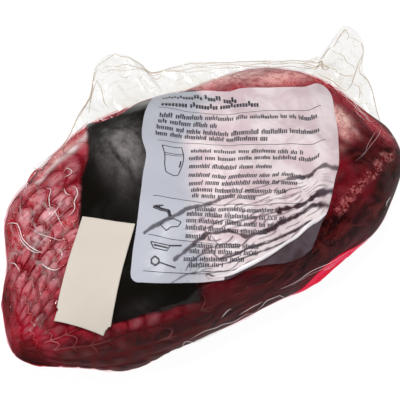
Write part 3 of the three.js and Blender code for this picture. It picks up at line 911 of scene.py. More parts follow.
# half width in millimetres, then places along the rim and out to it
MARGIN_CREASES = [
    (0.40, [(0.245, 0.99), (0.284, 0.96), (0.316, 0.985), (0.329, 0.95), (0.355, 0.97),
            (0.386, 0.98), (0.445, 0.985), (0.474, 0.96), (0.501, 0.96), (0.539, 0.985)]),
    (0.35, [(0.259, 0.91), (0.281, 0.88), (0.293, 0.81), (0.327, 0.81), (0.356, 0.79),
            (0.400, 0.90), (0.438, 0.97),
            (0.462, 0.94), (0.480, 0.84), (0.503, 0.87), (0.537, 0.82)]),
    (0.30, [(0.249, 0.96), (0.257, 0.86), (0.279, 0.82), (0.296, 0.74), (0.337, 0.74),
            (0.385, 0.82), (0.444, 0.92),
            (0.464, 0.91), (0.484, 0.78), (0.508, 0.75), (0.535, 0.72)]),
    (0.30, [(0.283, 0.71), (0.294, 0.65), (0.310, 0.67)]),
    (0.30, [(0.325, 0.59), (0.330, 0.57), (0.357, 0.67)]),
    (0.30, [(0.417, 0.84), (0.432, 0.78), (0.450, 0.89)]),
    (0.35, [(0.251, 0.96), (0.232, 0.97), (0.214, 0.98), (0.197, 0.97), (0.175, 0.92),
            (0.151, 0.81)]),
    (0.35, [(0.232, 0.91), (0.212, 0.95), (0.191, 0.975), (0.175, 0.98), (0.154, 0.97),
            (0.130, 0.94)]),
    (0.35, [(0.229, 0.93), (0.224, 0.84), (0.213, 0.77), (0.197, 0.67), (0.193, 0.55)]),
    (0.45, [(0.245, 0.985), (0.222, 0.985), (0.194, 0.99), (0.144, 0.985), (0.112, 0.99),
            (0.071, 0.985), (0.030, 0.98)]),
    (0.55, [(0.131, 0.69), (0.109, 0.77), (0.085, 0.86), (0.060, 0.95), (0.031, 0.84),
            (0.004, 0.67)]),
    (0.35, [(0.114, 0.70), (0.088, 0.79), (0.059, 0.89), (0.034, 0.77), (0.004, 0.55)]),
    (0.40, [(0.510, 0.92), (0.539, 0.97), (0.565, 0.985), (0.588, 0.985), (0.600, 0.94),
            (0.617, 0.985), (0.637, 0.985),
            (0.670, 0.91), (0.710, 0.66), (0.745, 0.45), (0.774, 0.42)]),
    (0.35, [(0.508, 0.86), (0.545, 0.91), (0.564, 0.92), (0.575, 0.83), (0.590, 0.87),
            (0.605, 0.86), (0.620, 0.90),
            (0.653, 0.88), (0.690, 0.70), (0.722, 0.48), (0.769, 0.40)]),
    (0.35, [(0.506, 0.75), (0.540, 0.81), (0.565, 0.78), (0.583, 0.79), (0.602, 0.71),
            (0.620, 0.77), (0.671, 0.69), (0.720, 0.48), (0.761, 0.39)]),
    (0.50, [(0.640, 0.92), (0.668, 0.89), (0.743, 0.47), (0.776, 0.41), (0.762, 0.38),
            (0.685, 0.68), (0.643, 0.86)]),
    (0.40, [(0.774, 0.42), (0.798, 0.43), (0.806, 0.42), (0.833, 0.50), (0.859, 0.70)]),
    (0.35, [(0.678, 0.91), (0.721, 0.72), (0.753, 0.70), (0.751, 0.84), (0.756, 0.94),
            (0.776, 0.88), (0.776, 0.84)]),
    (0.35, [(0.776, 0.88), (0.797, 0.93), (0.819, 0.98), (0.842, 0.97), (0.858, 0.88)]),
    (0.30, [(0.741, 0.67), (0.768, 0.63), (0.791, 0.65), (0.811, 0.62), (0.838, 0.72),
            (0.854, 0.81)]),
    (0.35, [(0.833, 0.98), (0.841, 0.89), (0.853, 0.81), (0.863, 0.72), (0.874, 0.62),
            (0.882, 0.40)]),
    (0.30, [(0.874, 0.62), (0.898, 0.71), (0.916, 0.66), (0.929, 0.52)]),
    (0.40, [(0.858, 0.88), (0.896, 0.98), (0.933, 0.985), (0.951, 0.985), (0.973, 0.985),
            (0.992, 0.985)]),
    (0.40, [(0.753, 0.31), (0.794, 0.29), (0.839, 0.32), (0.882, 0.40)]),
]


def smooth_path(points, t):
    """A smooth cubic through points whose first number is their place along it; the slope at a
    point is that of the line between its neighbours."""
    points = np.array(points, float)
    at, values = points[:, 0], points[:, 1:]
    last = len(at) - 1
    before = np.maximum(np.arange(last + 1) - 1, 0)
    after = np.minimum(np.arange(last + 1) + 1, last)
    slope = (values[after] - values[before]) / (at[after] - at[before])[:, None]
    k = np.clip(np.searchsorted(at, t) - 1, 0, last - 1)
    span = (at[k + 1] - at[k])[..., None]
    w = (np.asarray(t) - at[k])[..., None] / span
    return (values[k] * (1 + 2 * w) * (1 - w) ** 2 + values[k + 1] * w * w * (3 - 2 * w)
            + span * (slope[k] * w * (1 - w) ** 2 - slope[k + 1] * w * w * (1 - w)))


def even_path(places, scale, steps):
    """A smooth path through places, stepped by its length; scale turns their units into
    millimetres."""
    places = np.array(places)
    length = np.linalg.norm(np.diff(places, axis=0) * scale, axis=1)
    at = np.concatenate([[0], np.cumsum(length)]) / length.sum()
    return smooth_path(np.column_stack([at, places]), np.linspace(0, 1, steps))


RIM_LENGTH, MARGIN_REACH = 480.0, 40.0
crease = np.array([even_path(places, (RIM_LENGTH, MARGIN_REACH), CREASE_STEPS)
                   for _, places in MARGIN_CREASES])
crease_path = margin_points(np.clip(crease[..., 0], 0, 1), np.clip(crease[..., 1], 0, 0.99))
crease_out = np.broadcast_to(np.array([0.0, 0.0, 1.0]), crease_path.shape)
crease_taper = np.sin(np.pi * np.linspace(0.03, 0.97, CREASE_STEPS)) ** 0.4
crease_half = np.array([half for half, _ in MARGIN_CREASES])[:, None] * crease_taper
crease_look = Look("crease_film")
object_from("margin_creases",
            sweep(crease_path, crease_out, CREASE_FLAT, crease_half).reshape(-1, 3),
            sweep_faces(len(MARGIN_CREASES), CREASE_STEPS, len(CREASE_FLAT)),
            crease_look.finish(film_shader(crease_look, (0.86, 0.80, 0.72), 0.10, 0.1, 0.15)))

# ---------------------------------------------------------------------------------------------
# The dark field: black ink printed on the film, glossy as the film is. It thins out at its left
# edge, runs on under the pale panel, and carries a painted grey sheen: a painted reflection of
# the light in soft streaks on its upper part, and faintly along its lower edge.
# ---------------------------------------------------------------------------------------------
# place along the edge, latitude, angle in degrees
DARK_TOP = [(0, -0.342, 16.2), (0.078, -0.309, 25.2), (0.216, -0.242, 29.4), (0.362, -0.168, 30.2),
            (0.517, -0.072, 21.3), (0.750, 0.055, 22.4), (1, 0.160, 35.0)]
DARK_LEFT = [(0, -0.342, 16.2), (0.118, -0.415, 41.0), (0.241, -0.483, 53.0), (0.365, -0.534, 71.8),
             (0.463, -0.572, 84.9), (0.66, -0.613, 117.6), (0.857, -0.640, 143.7),
             (1, -0.650, 159.6)]
DARK_BOTTOM = [(0, -0.650, 159.6), (0.153, -0.580, 159.7), (0.333, -0.500, 159.3),
               (0.514, -0.423, 159.5),
               (0.694, -0.346, 160.6), (0.874, -0.267, 164.0), (1, -0.206, 166.7)]
DARK_RIGHT = [(0, 0.160, 35.0), (0.214, 0.009, 75.0), (0.456, -0.126, 111.8),
              (0.699, -0.178, 139.4), (0.917, -0.188, 159.7), (1, -0.206, 166.7)]
DARK_LIFT, DARK_STEPS = 0.14, (190, 220)


def spanned(top, bottom, left, right, u, v):
    """Latitude and angle inside four edge curves: the sum of the two straight blends between
    facing edges, less the straight blend of the corners."""
    u, v = np.broadcast_arrays(np.asarray(u, float), np.asarray(v, float))
    t, b = smooth_path(top, u), smooth_path(bottom, u)
    l, r = smooth_path(left, v), smooth_path(right, v)
    u, v = u[..., None], v[..., None]
    corners = (np.array(top[0][1:]) * (1 - u) * (1 - v) + np.array(top[-1][1:]) * u * (1 - v)
               + np.array(bottom[0][1:]) * (1 - u) * v + np.array(bottom[-1][1:]) * u * v)
    place = t * (1 - v) + b * v + l * (1 - u) + r * u - corners
    return place[..., 0], np.radians(place[..., 1])


def grid_faces(rows, cols):
    """Faces of an open grid of points whose rows run down and whose columns run right."""
    index = np.arange(rows * cols).reshape(rows, cols)
    quads = np.stack([index[:-1, :-1], index[1:, :-1], index[1:, 1:], index[:-1, 1:]], -1)
    return quads.reshape(-1, 4).tolist()


def soft_step(x, start, end):
    """0 before the start, 1 after the end, and three squares less two cubes between."""
    s = np.clip((x - start) / (end - start), 0, 1)
    return s * s * (3 - 2 * s)


u = np.linspace(0, 1, DARK_STEPS[0])[None]
v = np.linspace(0, 1, DARK_STEPS[1])[:, None]
dark_place = spanned(DARK_TOP, DARK_BOTTOM, DARK_LEFT, DARK_RIGHT, u, v)
dark_points, _ = on_film(*dark_place, DARK_LIFT)
edge_waver = 0.004 * ripples(dark_points, 14, 41)
cover = soft_step(u + edge_waver, 0.0, 0.035) * soft_step(1 - v + edge_waver, 0.0, 0.02)
cover = cover * (1 - soft_step(u + 0 * v, 0.80, 1.0) * soft_step(v, 0.80, 0.92))
# where the painted sheen lies: a grey painted reflection on the black ink
haze = (bell(dark_points, (-37, 32, 88), (12, 20, 20))
        + 0.25 * bell(dark_points, (-48, 24, 86), (9, 26, 20)))
haze = haze + 0.07 * np.exp(-((u - 0.35) / 0.16) ** 2 - ((v - 0.95) / 0.04) ** 2)
dark_look = Look("dark_ink")
# the painted sheen's soft streaks, mixed into the ink's colour
sheen_streaks = dark_look.noise(150, 7, 0.68, dark_look.here((1.0, 0.4, 1), (0, 0, 0.5)), 0.25)
sheen_streaks = dark_look.maths("MULTIPLY", dark_look.ramp(sheen_streaks, (0.32, 0.1), (0.68, 1)),
                         dark_look.mark("haze"))
ink_colour = dark_look.blend(sheen_streaks, (0.0035, 0.0026, 0.0018), (0.24, 0.216, 0.216))
dark_bump = dark_look.bump(dark_look.noise(60, 2, 0.5, None, 1.0), 0.0014, 0.35)
dark_ink = dark_look.add("BsdfPrincipled", Base_Color=ink_colour, Roughness=0.3, Coat_Weight=0.28,
                         Coat_Roughness=0.06, Specular_IOR_Level=0.05, Normal=dark_bump,
                         Coat_Normal=dark_bump)
dark_mixed = dark_look.add("MixShader", in0=dark_look.mark("cover"),
                           in1=dark_look.add("BsdfTransparent", Color=(1, 1, 1)), in2=dark_ink)
object_from("dark_field", dark_points.reshape(-1, 3), grid_faces(*dark_points.shape[:2]),
            dark_look.finish(dark_mixed), {"cover": cover, "haze": haze})

# ---------------------------------------------------------------------------------------------
# The pale panel: a field of white ink on the film, thin enough for what lies under it to tint
# it. Its lower right corner is drawn as folded under, with a rolled edge along the fold and
# painted shade below it, and creases of painted shade run across it to that fold, with thin
# painted highlights between the fine ones.
# ---------------------------------------------------------------------------------------------
PANEL_TOP = [(0, -0.012, 15.6), (0.067, 0.040, 17.1), (0.194, 0.110, 31.1), (0.317, 0.192, 37.7),
             (0.428, 0.267, 42.0), (0.494, 0.324, 41.5), (0.583, 0.393, 43.0), (0.739, 0.506, 48.4),
             (0.856, 0.595, 51.1), (0.933, 0.684, 44.1), (1, 0.724, 50.1)]
PANEL_BOTTOM = [(0, -0.488, 142.7), (0.133, -0.403, 147.1), (0.266, -0.315, 151.5),
                (0.399, -0.220, 156.5),
                (0.532, -0.116, 160.8), (0.670, -0.006, 163.4), (0.824, 0.121, 166.6),
                (1, 0.285, 173.1)]
PANEL_LEFT = [(0, -0.012, 15.6), (0.048, -0.067, 32.0), (0.138, -0.145, 46.1),
              (0.228, -0.193, 59.5),
              (0.315, -0.213, 71.8), (0.418, -0.261, 83.6), (0.540, -0.314, 99.8),
              (0.714, -0.385, 119.0), (0.836, -0.433, 130.1), (1, -0.488, 142.7)]
PANEL_RIGHT = [(0, 0.724, 50.1), (0.069, 0.663, 77.4), (0.196, 0.617, 107.6), (0.286, 0.561, 123.9),
               (0.376, 0.517, 134.7), (0.434, 0.482, 139.8), (0.529, 0.428, 146.6),
               (0.590, 0.394, 150.3),
               (0.677, 0.355, 156.0), (0.830, 0.313, 165.0), (1, 0.285, 173.1)]
PANEL_WIDE, PANEL_HIGH, PANEL_CORNER = 113.0, 122.0, 0.045
PANEL_LIFT, RELIEF_LOWEST, PANEL_STEPS = 0.42, -0.12, (250, 270)
# across the panel, down it
PANEL_CUT = [(0, 1), (0.50, 1), (0.53, 0.995), (0.60, 0.955), (0.665, 0.924), (0.72, 0.920),
             (0.816, 0.932),
             (0.905, 0.912), (0.948, 0.870), (0.965, 0.79), (0.980, 0.70), (1, 0.60)]
FOLD_LINE = [(0.992, 0.634), (0.955, 0.688), (0.893, 0.735), (0.818, 0.777), (0.750, 0.825),
             (0.676, 0.871), (0.600, 0.920), (0.520, 0.965), (0.42, 0.975)]
# creases: their points, how wide they are in millimetres, and how much painted shade they put
# in place of the white ink
CREASES = [
    ([(0.056, 0.739), (0.154, 0.667), (0.257, 0.593), (0.342, 0.563), (0.425, 0.525)], 2.4, 0.75),
    ([(0.425, 0.525), (0.580, 0.486), (0.677, 0.452), (0.765, 0.417)], 0.9, 0.55),
    ([(0.765, 0.417), (0.885, 0.408), (1.000, 0.396)], 2.8, 0.75),
    ([(0.488, 0.657), (0.585, 0.641), (0.685, 0.622), (0.759, 0.600)], 1.2, 0.65),
    ([(0.759, 0.600), (0.850, 0.568), (0.919, 0.571), (0.986, 0.522)], 4.2, 0.9),
    ([(0.285, 0.810), (0.337, 0.750), (0.391, 0.705), (0.491, 0.694), (0.591, 0.728),
      (0.691, 0.710)], 2.2, 0.8),
    ([(0.691, 0.710), (0.783, 0.660), (0.864, 0.627), (0.988, 0.595)], 3.6, 0.88),
    ([(0.229, 0.868), (0.285, 0.810), (0.318, 0.775), (0.377, 0.707)], 2.4, 0.75),
    ([(0.472, 0.853), (0.541, 0.829), (0.611, 0.791), (0.724, 0.766), (0.839, 0.719),
      (0.933, 0.693)], 1.9, 0.85),
    ([(0.42, 0.900), (0.52, 0.878), (0.62, 0.840), (0.74, 0.800), (0.84, 0.760)], 1.2, 0.8),
    ([(0.224, 0.997), (0.295, 0.950), (0.383, 0.931), (0.49, 0.938), (0.589, 0.932)], 1.5, 0.7),
    ([(0.29, 0.93), (0.31, 0.88), (0.36, 0.83), (0.42, 0.80)], 1.1, 0.7),
    ([(0.50, 0.59), (0.62, 0.555), (0.74, 0.525), (0.84, 0.49)], 0.7, 0.45),
    ([(0.390, 0.698), (0.441, 0.757), (0.434, 0.824), (0.481, 0.872)], 0.9, 0.6),
]
# the first three creases join into one, and fine ones comb painted shade, with painted
# highlights between, through the ink between it and the fold
UPPER_CREASE = CREASES[0][0] + CREASES[1][0][1:] + CREASES[2][0][1:]
FINE_CREASES = 11
# down the panel, and how far across it the dark field shows through there
DARK_EDGE_DOWN = [0, 0.08, 0.30, 0.47, 0.62, 1.0]
DARK_EDGE_ACROSS = [0.30, 0.29, 0.22, 0.26, 0.33, 0.36]


def panel_points(u, v, lift):
    """Places on the pale panel, in shares of its width and height, with its creases' relief."""
    latitude, angle = spanned(PANEL_TOP, PANEL_BOTTOM, PANEL_LEFT, PANEL_RIGHT, u, v)
    points, out = on_film(latitude, angle)
    u, v = np.broadcast_arrays(u, v)
    gathered = soft_step(u * 0.7 + v, 0.75, 1.15)
    relief = (0.10 * ripples(points, 13, 51)
              + gathered * 0.14 * ripples(points, 7, 52, stretch=(0.5, 1.6, 1)))
    return points + out * (PANEL_LIFT + lift + np.maximum(relief, RELIEF_LOWEST))[..., None], out


def line_distance(u, v, line):
    """Distance in millimetres from places on the panel to a line through points on it."""
    x, y = u * PANEL_WIDE, v * PANEL_HIGH
    line = np.array(line) * (PANEL_WIDE, PANEL_HIGH)
    nearest = np.full(np.broadcast(x, y).shape, np.inf)
    for (ax, ay), (bx, by) in zip(line[:-1], line[1:]):
        share = ((x - ax) * (bx - ax) + (y - ay) * (by - ay)) / ((bx - ax) ** 2 + (by - ay) ** 2)
        share = np.clip(share, 0, 1)
        nearest = np.minimum(nearest, np.hypot(x - ax - share * (bx - ax),
                                               y - ay - share * (by - ay)))
    return nearest


column = np.linspace(0, 1, PANEL_STEPS[0])[None]
rounding, right_rounding = (
    PANEL_CORNER - np.sqrt(np.maximum(PANEL_CORNER**2 - np.maximum(inwards, 0) ** 2, 0))
    for inwards in (PANEL_CORNER - column, column - 1 + PANEL_CORNER))
cut = np.array(PANEL_CUT)
low = np.interp(column, cut[:, 0], cut[:, 1]) - rounding
high = rounding + right_rounding
down = high + (low - high) * np.linspace(0, 1, PANEL_STEPS[1])[:, None]
across = column + 0 * down
pale_points, _ = panel_points(across, down, 0.0)
waver = 0.35 * ripples(pale_points, 5, 54) + 0.10 * ripples(pale_points, 2.1, 58)
ink = np.ones(across.shape)
# in the creases the ink gives way to the crease colour: painted shade
for line, width, strength in CREASES:
    near = line_distance(across, down, line) / width + waver * 0.55
    ink = np.minimum(ink, 1 - min(strength * 1.12, 1) * (1 - soft_step(near, 0.30, 0.66)))
fold = np.array(FOLD_LINE)[::-1]
below_fold = down - np.interp(across, fold[:, 0], fold[:, 1])
under_fold = soft_step(below_fold, 0.0, 0.012) * (across > 0.5)
to_upper = line_distance(across, down, UPPER_CREASE)
to_fold = line_distance(across, down, FOLD_LINE)
between = to_upper / (to_upper + to_fold)
comb = np.abs(np.sin(np.pi * (FINE_CREASES * between + 0.45 * ripples(pale_points, 15, 56))))
upper = np.array(UPPER_CREASE)
below_upper = down - np.interp(across, upper[:, 0], upper[:, 1])
gathers = soft_step(below_upper, 0.0, 0.05) * soft_step(across, 0.22, 0.42)
fine = (1 - soft_step(comb, 0.12, 0.46)) * gathers
fine = fine * soft_step(ripples(pale_points, 10, 57), -0.5, 0.3)
ink = np.minimum(ink, 1 - 0.85 * fine)
# below the fold line the panel is almost all painted shade
ink = np.minimum(ink, 1 - 0.97 * under_fold)
# gleam: painted highlights along the crests between the fine creases
gleam = soft_step(comb, 0.90, 0.99) * gathers * soft_step(ripples(pale_points, 9, 60), 0.0, 0.6)
gleam = gleam * (1 - under_fold)
dark_edge = np.interp(down, DARK_EDGE_DOWN, DARK_EDGE_ACROSS)
over_dark = 1 - soft_step(across + 0.05 * ripples(pale_points, 24, 55), dark_edge - 0.07,
                          dark_edge + 0.07)

pale_look = Look("pale_ink")
ink_share, over = pale_look.mark("ink"), pale_look.mark("over_dark")
cloud = pale_look.noise(52, 4, 0.6, None, 0.6)
over_meat = pale_look.blend(pale_look.ramp(cloud, (0.40, 0), (0.60, 1)), (0.69, 0.55, 0.585),
                            (0.86, 0.76, 0.775))
white = pale_look.blend(over, over_meat, (0.47, 0.48, 0.54))
# the painted highlights along the crests
white = pale_look.blend(pale_look.mark("gleam"), white, (0.88, 0.84, 0.86))
# the crease colour is painted shade: near black, greyer in places
crease_shade_colour = pale_look.blend(over, (0.045, 0.022, 0.028), (0.035, 0.034, 0.045))
crease_shade_colour = pale_look.blend(pale_look.ramp(cloud, (0.46, 0), (0.62, 1)), crease_shade_colour,
                                (0.085, 0.060, 0.076))
white = pale_look.blend(ink_share, crease_shade_colour, white)
pale_bump = pale_look.bump(pale_look.noise(90, 3, 0.5, None, 0.8), 0.0007, 0.35)
pale_ink = pale_look.add("BsdfPrincipled", Base_Color=white, Roughness=0.5, Coat_Weight=0.08,
                         Coat_Roughness=0.2, Specular_IOR_Level=0.1, Normal=pale_bump,
                         Coat_Normal=pale_bump)
pale_mixed = pale_look.add("MixShader", in0=0.14, in1=pale_ink,
                           in2=pale_look.add("BsdfTransparent", Color=(1, 1, 1)))
object_from("pale_panel", pale_points.reshape(-1, 3), grid_faces(*pale_points.shape[:2]),
            pale_look.finish(pale_mixed),
            {"ink": ink, "over_dark": over_dark, "gleam": gleam})

# The fold itself: the panel's edge turned over in a narrow roll.
FOLD_STEPS, FOLD_HALF = 120, 1.25
FOLD_PROFILE = np.array([(-1, -0.12), (-0.75, 0.28), (-0.25, 0.5), (0.3, 0.48), (0.8, 0.22),
                         (1, -0.12), (0, -0.3)])
fold_at = np.linspace(0, 1, len(FOLD_LINE))
t = np.linspace(0, 1, FOLD_STEPS)
fold_uv = smooth_path(np.column_stack([fold_at, FOLD_LINE]), t)
fold_path, fold_out = panel_points(fold_uv[:, 0], fold_uv[:, 1], 0.25)
fold_taper = np.minimum(1, 0.25 + 3 * np.minimum(t * 2, 1 - t))
fold_size = FOLD_HALF * fold_taper * (0.9 + 0.2 * np.sin(9 * t + 1))
fold_points = sweep(fold_path, fold_out, FOLD_PROFILE, fold_size)
fold_look = Look("turned_edge")
fold_colour = fold_look.blend(fold_look.noise(90), (0.68, 0.63, 0.66), (0.86, 0.82, 0.84))
object_from("turned_edge", fold_points.reshape(-1, 3),
            sweep_faces(1, FOLD_STEPS, len(FOLD_PROFILE)),
            fold_look.finish(fold_look.add(
                "BsdfPrincipled", Base_Color=fold_colour, Roughness=0.4, Coat_Weight=0.25,
                Coat_Roughness=0.15,
            )))

# ---------------------------------------------------------------------------------------------
# The panel's print: rules, lines of small blocks in place of words, and plain symbols, in dark
# ink on the pale panel. They are thin strips that follow it.
# ---------------------------------------------------------------------------------------------
INK_THICK, PRINT_LIFT, RULE_HALF, LETTER_GAP, WORD_GAP = 0.06, 0.10, 0.17, 0.36, 1.7
SMALL_STEP, STRIP_SIDES, RULE_STEPS, SYMBOL_STEPS = 0.006, 4, 90, 40
# places across and down the panel along each rule
RULES = [
    [(0.068, 0.093), (0.191, 0.065), (0.337, 0.064), (0.486, 0.069), (0.633, 0.063), (0.795, 0.068),
     (0.921, 0.085)],
    [(0.074, 0.244), (0.214, 0.206), (0.360, 0.215), (0.500, 0.228), (0.643, 0.226), (0.792, 0.231),
     (0.934, 0.264)],
    [(0.072, 0.549), (0.209, 0.543), (0.348, 0.553), (0.484, 0.557), (0.628, 0.570), (0.755, 0.555),
     (0.892, 0.560)],
    [(0.074, 0.750), (0.241, 0.757), (0.405, 0.760), (0.563, 0.769)],
    [(0.067, 0.940), (0.217, 0.942), (0.369, 0.947), (0.516, 0.935)],
]
# lines of words: a block's height and width in millimetres, then places across and down along it
WORD_LINES = [
    (5.0, 1.35, [(0.068, 0.036), (0.196, 0.023), (0.325, 0.021), (0.457, 0.023)]),
    (5.0, 1.35, [(0.076, 0.074), (0.187, 0.047), (0.315, 0.044), (0.448, 0.036), (0.578, 0.041)]),
    (3.8, 0.74, [(0.080, 0.127), (0.193, 0.087), (0.331, 0.081), (0.476, 0.091), (0.615, 0.096),
                 (0.762, 0.094), (0.895, 0.120)]),
    (3.8, 0.74, [(0.076, 0.150), (0.207, 0.111), (0.364, 0.115)]),
    (3.8, 0.74, [(0.069, 0.181), (0.195, 0.143), (0.339, 0.149), (0.481, 0.165), (0.619, 0.171),
                 (0.764, 0.169), (0.900, 0.195)]),
    (3.8, 0.74, [(0.065, 0.213), (0.198, 0.172), (0.344, 0.180), (0.487, 0.196), (0.628, 0.202)]),
    (3.1, 0.68, [(0.237, 0.253), (0.383, 0.256), (0.523, 0.267), (0.673, 0.260), (0.824, 0.274)]),
    (3.1, 0.68, [(0.223, 0.301), (0.357, 0.299), (0.489, 0.305), (0.627, 0.299), (0.764, 0.296),
                 (0.900, 0.330)]),
    (3.1, 0.68, [(0.229, 0.350), (0.373, 0.348), (0.516, 0.359), (0.663, 0.352)]),
    (3.1, 0.68, [(0.240, 0.403), (0.368, 0.402), (0.495, 0.410), (0.624, 0.407), (0.749, 0.394),
                 (0.890, 0.425)]),
    (3.1, 0.68, [(0.251, 0.453), (0.391, 0.442), (0.530, 0.450), (0.671, 0.443), (0.813, 0.442)]),
    (3.1, 0.68, [(0.268, 0.488), (0.394, 0.480), (0.521, 0.491), (0.650, 0.494), (0.772, 0.490)]),
    (3.1, 0.68, [(0.277, 0.519), (0.439, 0.512), (0.609, 0.531)]),
    (3.0, 0.66, [(0.304, 0.588), (0.449, 0.581), (0.602, 0.599), (0.747, 0.598)]),
    (3.0, 0.66, [(0.264, 0.617), (0.395, 0.610), (0.530, 0.625), (0.671, 0.637), (0.802, 0.642)]),
    (3.0, 0.66, [(0.266, 0.651), (0.418, 0.645), (0.575, 0.667), (0.731, 0.677)]),
    (3.0, 0.66, [(0.267, 0.688), (0.416, 0.683), (0.564, 0.702), (0.715, 0.713)]),
    (3.0, 0.66, [(0.272, 0.732), (0.336, 0.731), (0.400, 0.730)]),
    (3.0, 0.66, [(0.314, 0.778), (0.483, 0.777), (0.655, 0.791)]),
    (3.0, 0.66, [(0.302, 0.813), (0.421, 0.808), (0.536, 0.818), (0.656, 0.831)]),
    (3.0, 0.66, [(0.275, 0.861), (0.431, 0.855), (0.585, 0.868)]),
    (3.0, 0.66, [(0.307, 0.897), (0.397, 0.892), (0.484, 0.895)]),
]


def strips(u, v, half):
    """Flat closed strips along lines on the panel: lines as rows of places, half widths in
    millimetres."""
    path, out = panel_points(u, v, PRINT_LIFT)
    half = np.broadcast_to(np.asarray(half, float), u.shape)[..., None]
    side = unit(np.cross(np.gradient(path, axis=-2), out))
    up = out * INK_THICK
    ring = np.stack([path + side * half, path - side * half, path - side * half - up,
                     path + side * half - up], -2)
    return ring.reshape(-1, 3), np.array(sweep_faces(len(u), u.shape[1], STRIP_SIDES))


def upright_blocks(u, v, half):
    """Flat closed blocks that stand upright on the panel: their top and bottom edges are lines
    a half height above and below their middle."""
    down, up = panel_points(u, v + SMALL_STEP, 0)[0], panel_points(u, v - SMALL_STEP, 0)[0]
    reach = half * 2 * SMALL_STEP / np.linalg.norm(down - up, axis=-1).mean(-1, keepdims=True)
    high, low = v - reach, v + reach
    ring = [panel_points(u, edge, lift)[0] for edge, lift in (
        (low, PRINT_LIFT), (high, PRINT_LIFT), (high, PRINT_LIFT - INK_THICK),
        (low, PRINT_LIFT - INK_THICK))]
    return np.stack(ring, -2).reshape(-1, 3), np.array(sweep_faces(len(u), u.shape[1], STRIP_SIDES))


rng = np.random.default_rng(7)
block_u, block_v, block_half = [], [], []
for tall, wide, places in WORD_LINES:
    at, letters = places[0][0], 2 * rng.integers(2, 8)
    while at < places[-1][0]:
        end = at + wide / PANEL_WIDE
        rise = rng.choice([0.0, 0.0, 0.0, 0.24])
        middle = smooth_path(places, (at + end) / 2)[0]
        block_u.append((at, end))
        block_v.append(middle - rise * tall / 2 / PANEL_HIGH)
        block_half.append(tall / 2 * (0.76 + rise))
        letters -= 1
        at = end + (LETTER_GAP * rng.uniform(0.7, 1.3) if letters else WORD_GAP) / PANEL_WIDE
        letters = letters or 2 * rng.integers(2, 9)
block_u = np.linspace(*np.array(block_u).T, 3).T
block_v = np.array(block_v)[:, None] + 0 * block_u
rule_u = np.array([np.linspace(places[0][0], places[-1][0], RULE_STEPS) for places in RULES])
rule_v = np.array([smooth_path(places, u)[:, 0] for places, u in zip(RULES, rule_u)])

# symbols: a cupboard with a door, a tap over a basin, a pan, and a dial on a stem
SYMBOLS = [
    ([(0.090, 0.266), (0.192, 0.236), (0.196, 0.28), (0.184, 0.410), (0.160, 0.416), (0.116, 0.404),
      (0.100, 0.36), (0.090, 0.266)], 0.28),
    ([(0.092, 0.304), (0.194, 0.277)], 0.22), ([(0.093, 0.314), (0.193, 0.287)], 0.16),
    ([(0.180, 0.322), (0.178, 0.360)], 0.45),
    ([(0.094, 0.602), (0.135, 0.592)], 0.5), ([(0.114, 0.597), (0.115, 0.614)], 0.6),
    ([(0.082, 0.608), (0.125, 0.614), (0.165, 0.613), (0.178, 0.640)], 0.95),
    ([(0.130, 0.692), (0.150, 0.660), (0.200, 0.648), (0.240, 0.660), (0.228, 0.684),
      (0.187, 0.694), (0.167, 0.716), (0.130, 0.692)], 0.3),
    ([(0.093, 0.786), (0.110, 0.816), (0.182, 0.820), (0.196, 0.790), (0.093, 0.786)], 0.28),
    ([(0.196, 0.791), (0.258, 0.785)], 0.45), ([(0.110, 0.800), (0.184, 0.804)], 0.5),
    ([(0.104, 0.876), (0.122, 0.858), (0.142, 0.868), (0.146, 0.890), (0.128, 0.906),
      (0.108, 0.898), (0.104, 0.876)], 0.5),
    ([(0.150, 0.887), (0.236, 0.912)], 0.4),
]
symbol_uv, symbol_half = [], []
for line, half in SYMBOLS:
    line = np.array(line)
    steps = np.hypot(*(np.diff(line, axis=0) * (PANEL_WIDE, PANEL_HIGH)).T)
    at = np.concatenate([[0], np.cumsum(steps)])
    t = np.linspace(0, at[-1], SYMBOL_STEPS)
    symbol_uv.append(np.stack([np.interp(t, at, line[:, 0]), np.interp(t, at, line[:, 1])]))
    symbol_half.append(np.full(SYMBOL_STEPS, half))
symbol_uv = np.array(symbol_uv)
printed = [
    upright_blocks(block_u, block_v, np.array(block_half)[:, None]),
    strips(rule_u, rule_v, RULE_HALF),
    strips(symbol_uv[:, 0], symbol_uv[:, 1], np.array(symbol_half)),
]
print_points = np.concatenate([points for points, _ in printed])
starts = np.cumsum([0] + [len(points) for points, _ in printed[:-1]])
print_faces = np.concatenate([faces + start for (_, faces), start in zip(printed, starts)])
print_look = Look("line_ink")
line_ink = print_look.blend(print_look.noise(160, 2), (0.010, 0.010, 0.016), (0.045, 0.042, 0.055))
object_from("panel_print", print_points, print_faces.tolist(),
            print_look.finish(print_look.add("BsdfPrincipled", Base_Color=line_ink, Roughness=0.4)))

# ---------------------------------------------------------------------------------------------
# The sticker: blank cream paper on the film, die-cut, with a torn step at its lower right corner
# and a small nick at its lower left.
# ---------------------------------------------------------------------------------------------
STICKER_X, STICKER_Y, STICKER_TURN = -85.1, -32.6, np.radians(50.6)
STICKER_WIDE, STICKER_LONG, STICKER_GAP, STICKER_THICK = 31.8, 58.0, 0.5, 0.35
STICKER_STEPS = (60, 120)
# down the sticker, left edge, right edge, in shares of its width
STICKER_EDGES = np.array([
    (0, 0, 1), (0.895, 0, 1), (0.900, 0.030, 1), (0.915, 0.035, 1), (0.925, 0.018, 0.995),
    (0.932, 0.015, 0.955),
    (0.950, 0.012, 0.945), (0.955, 0.010, 0.925), (1, 0.0, 0.895),
])


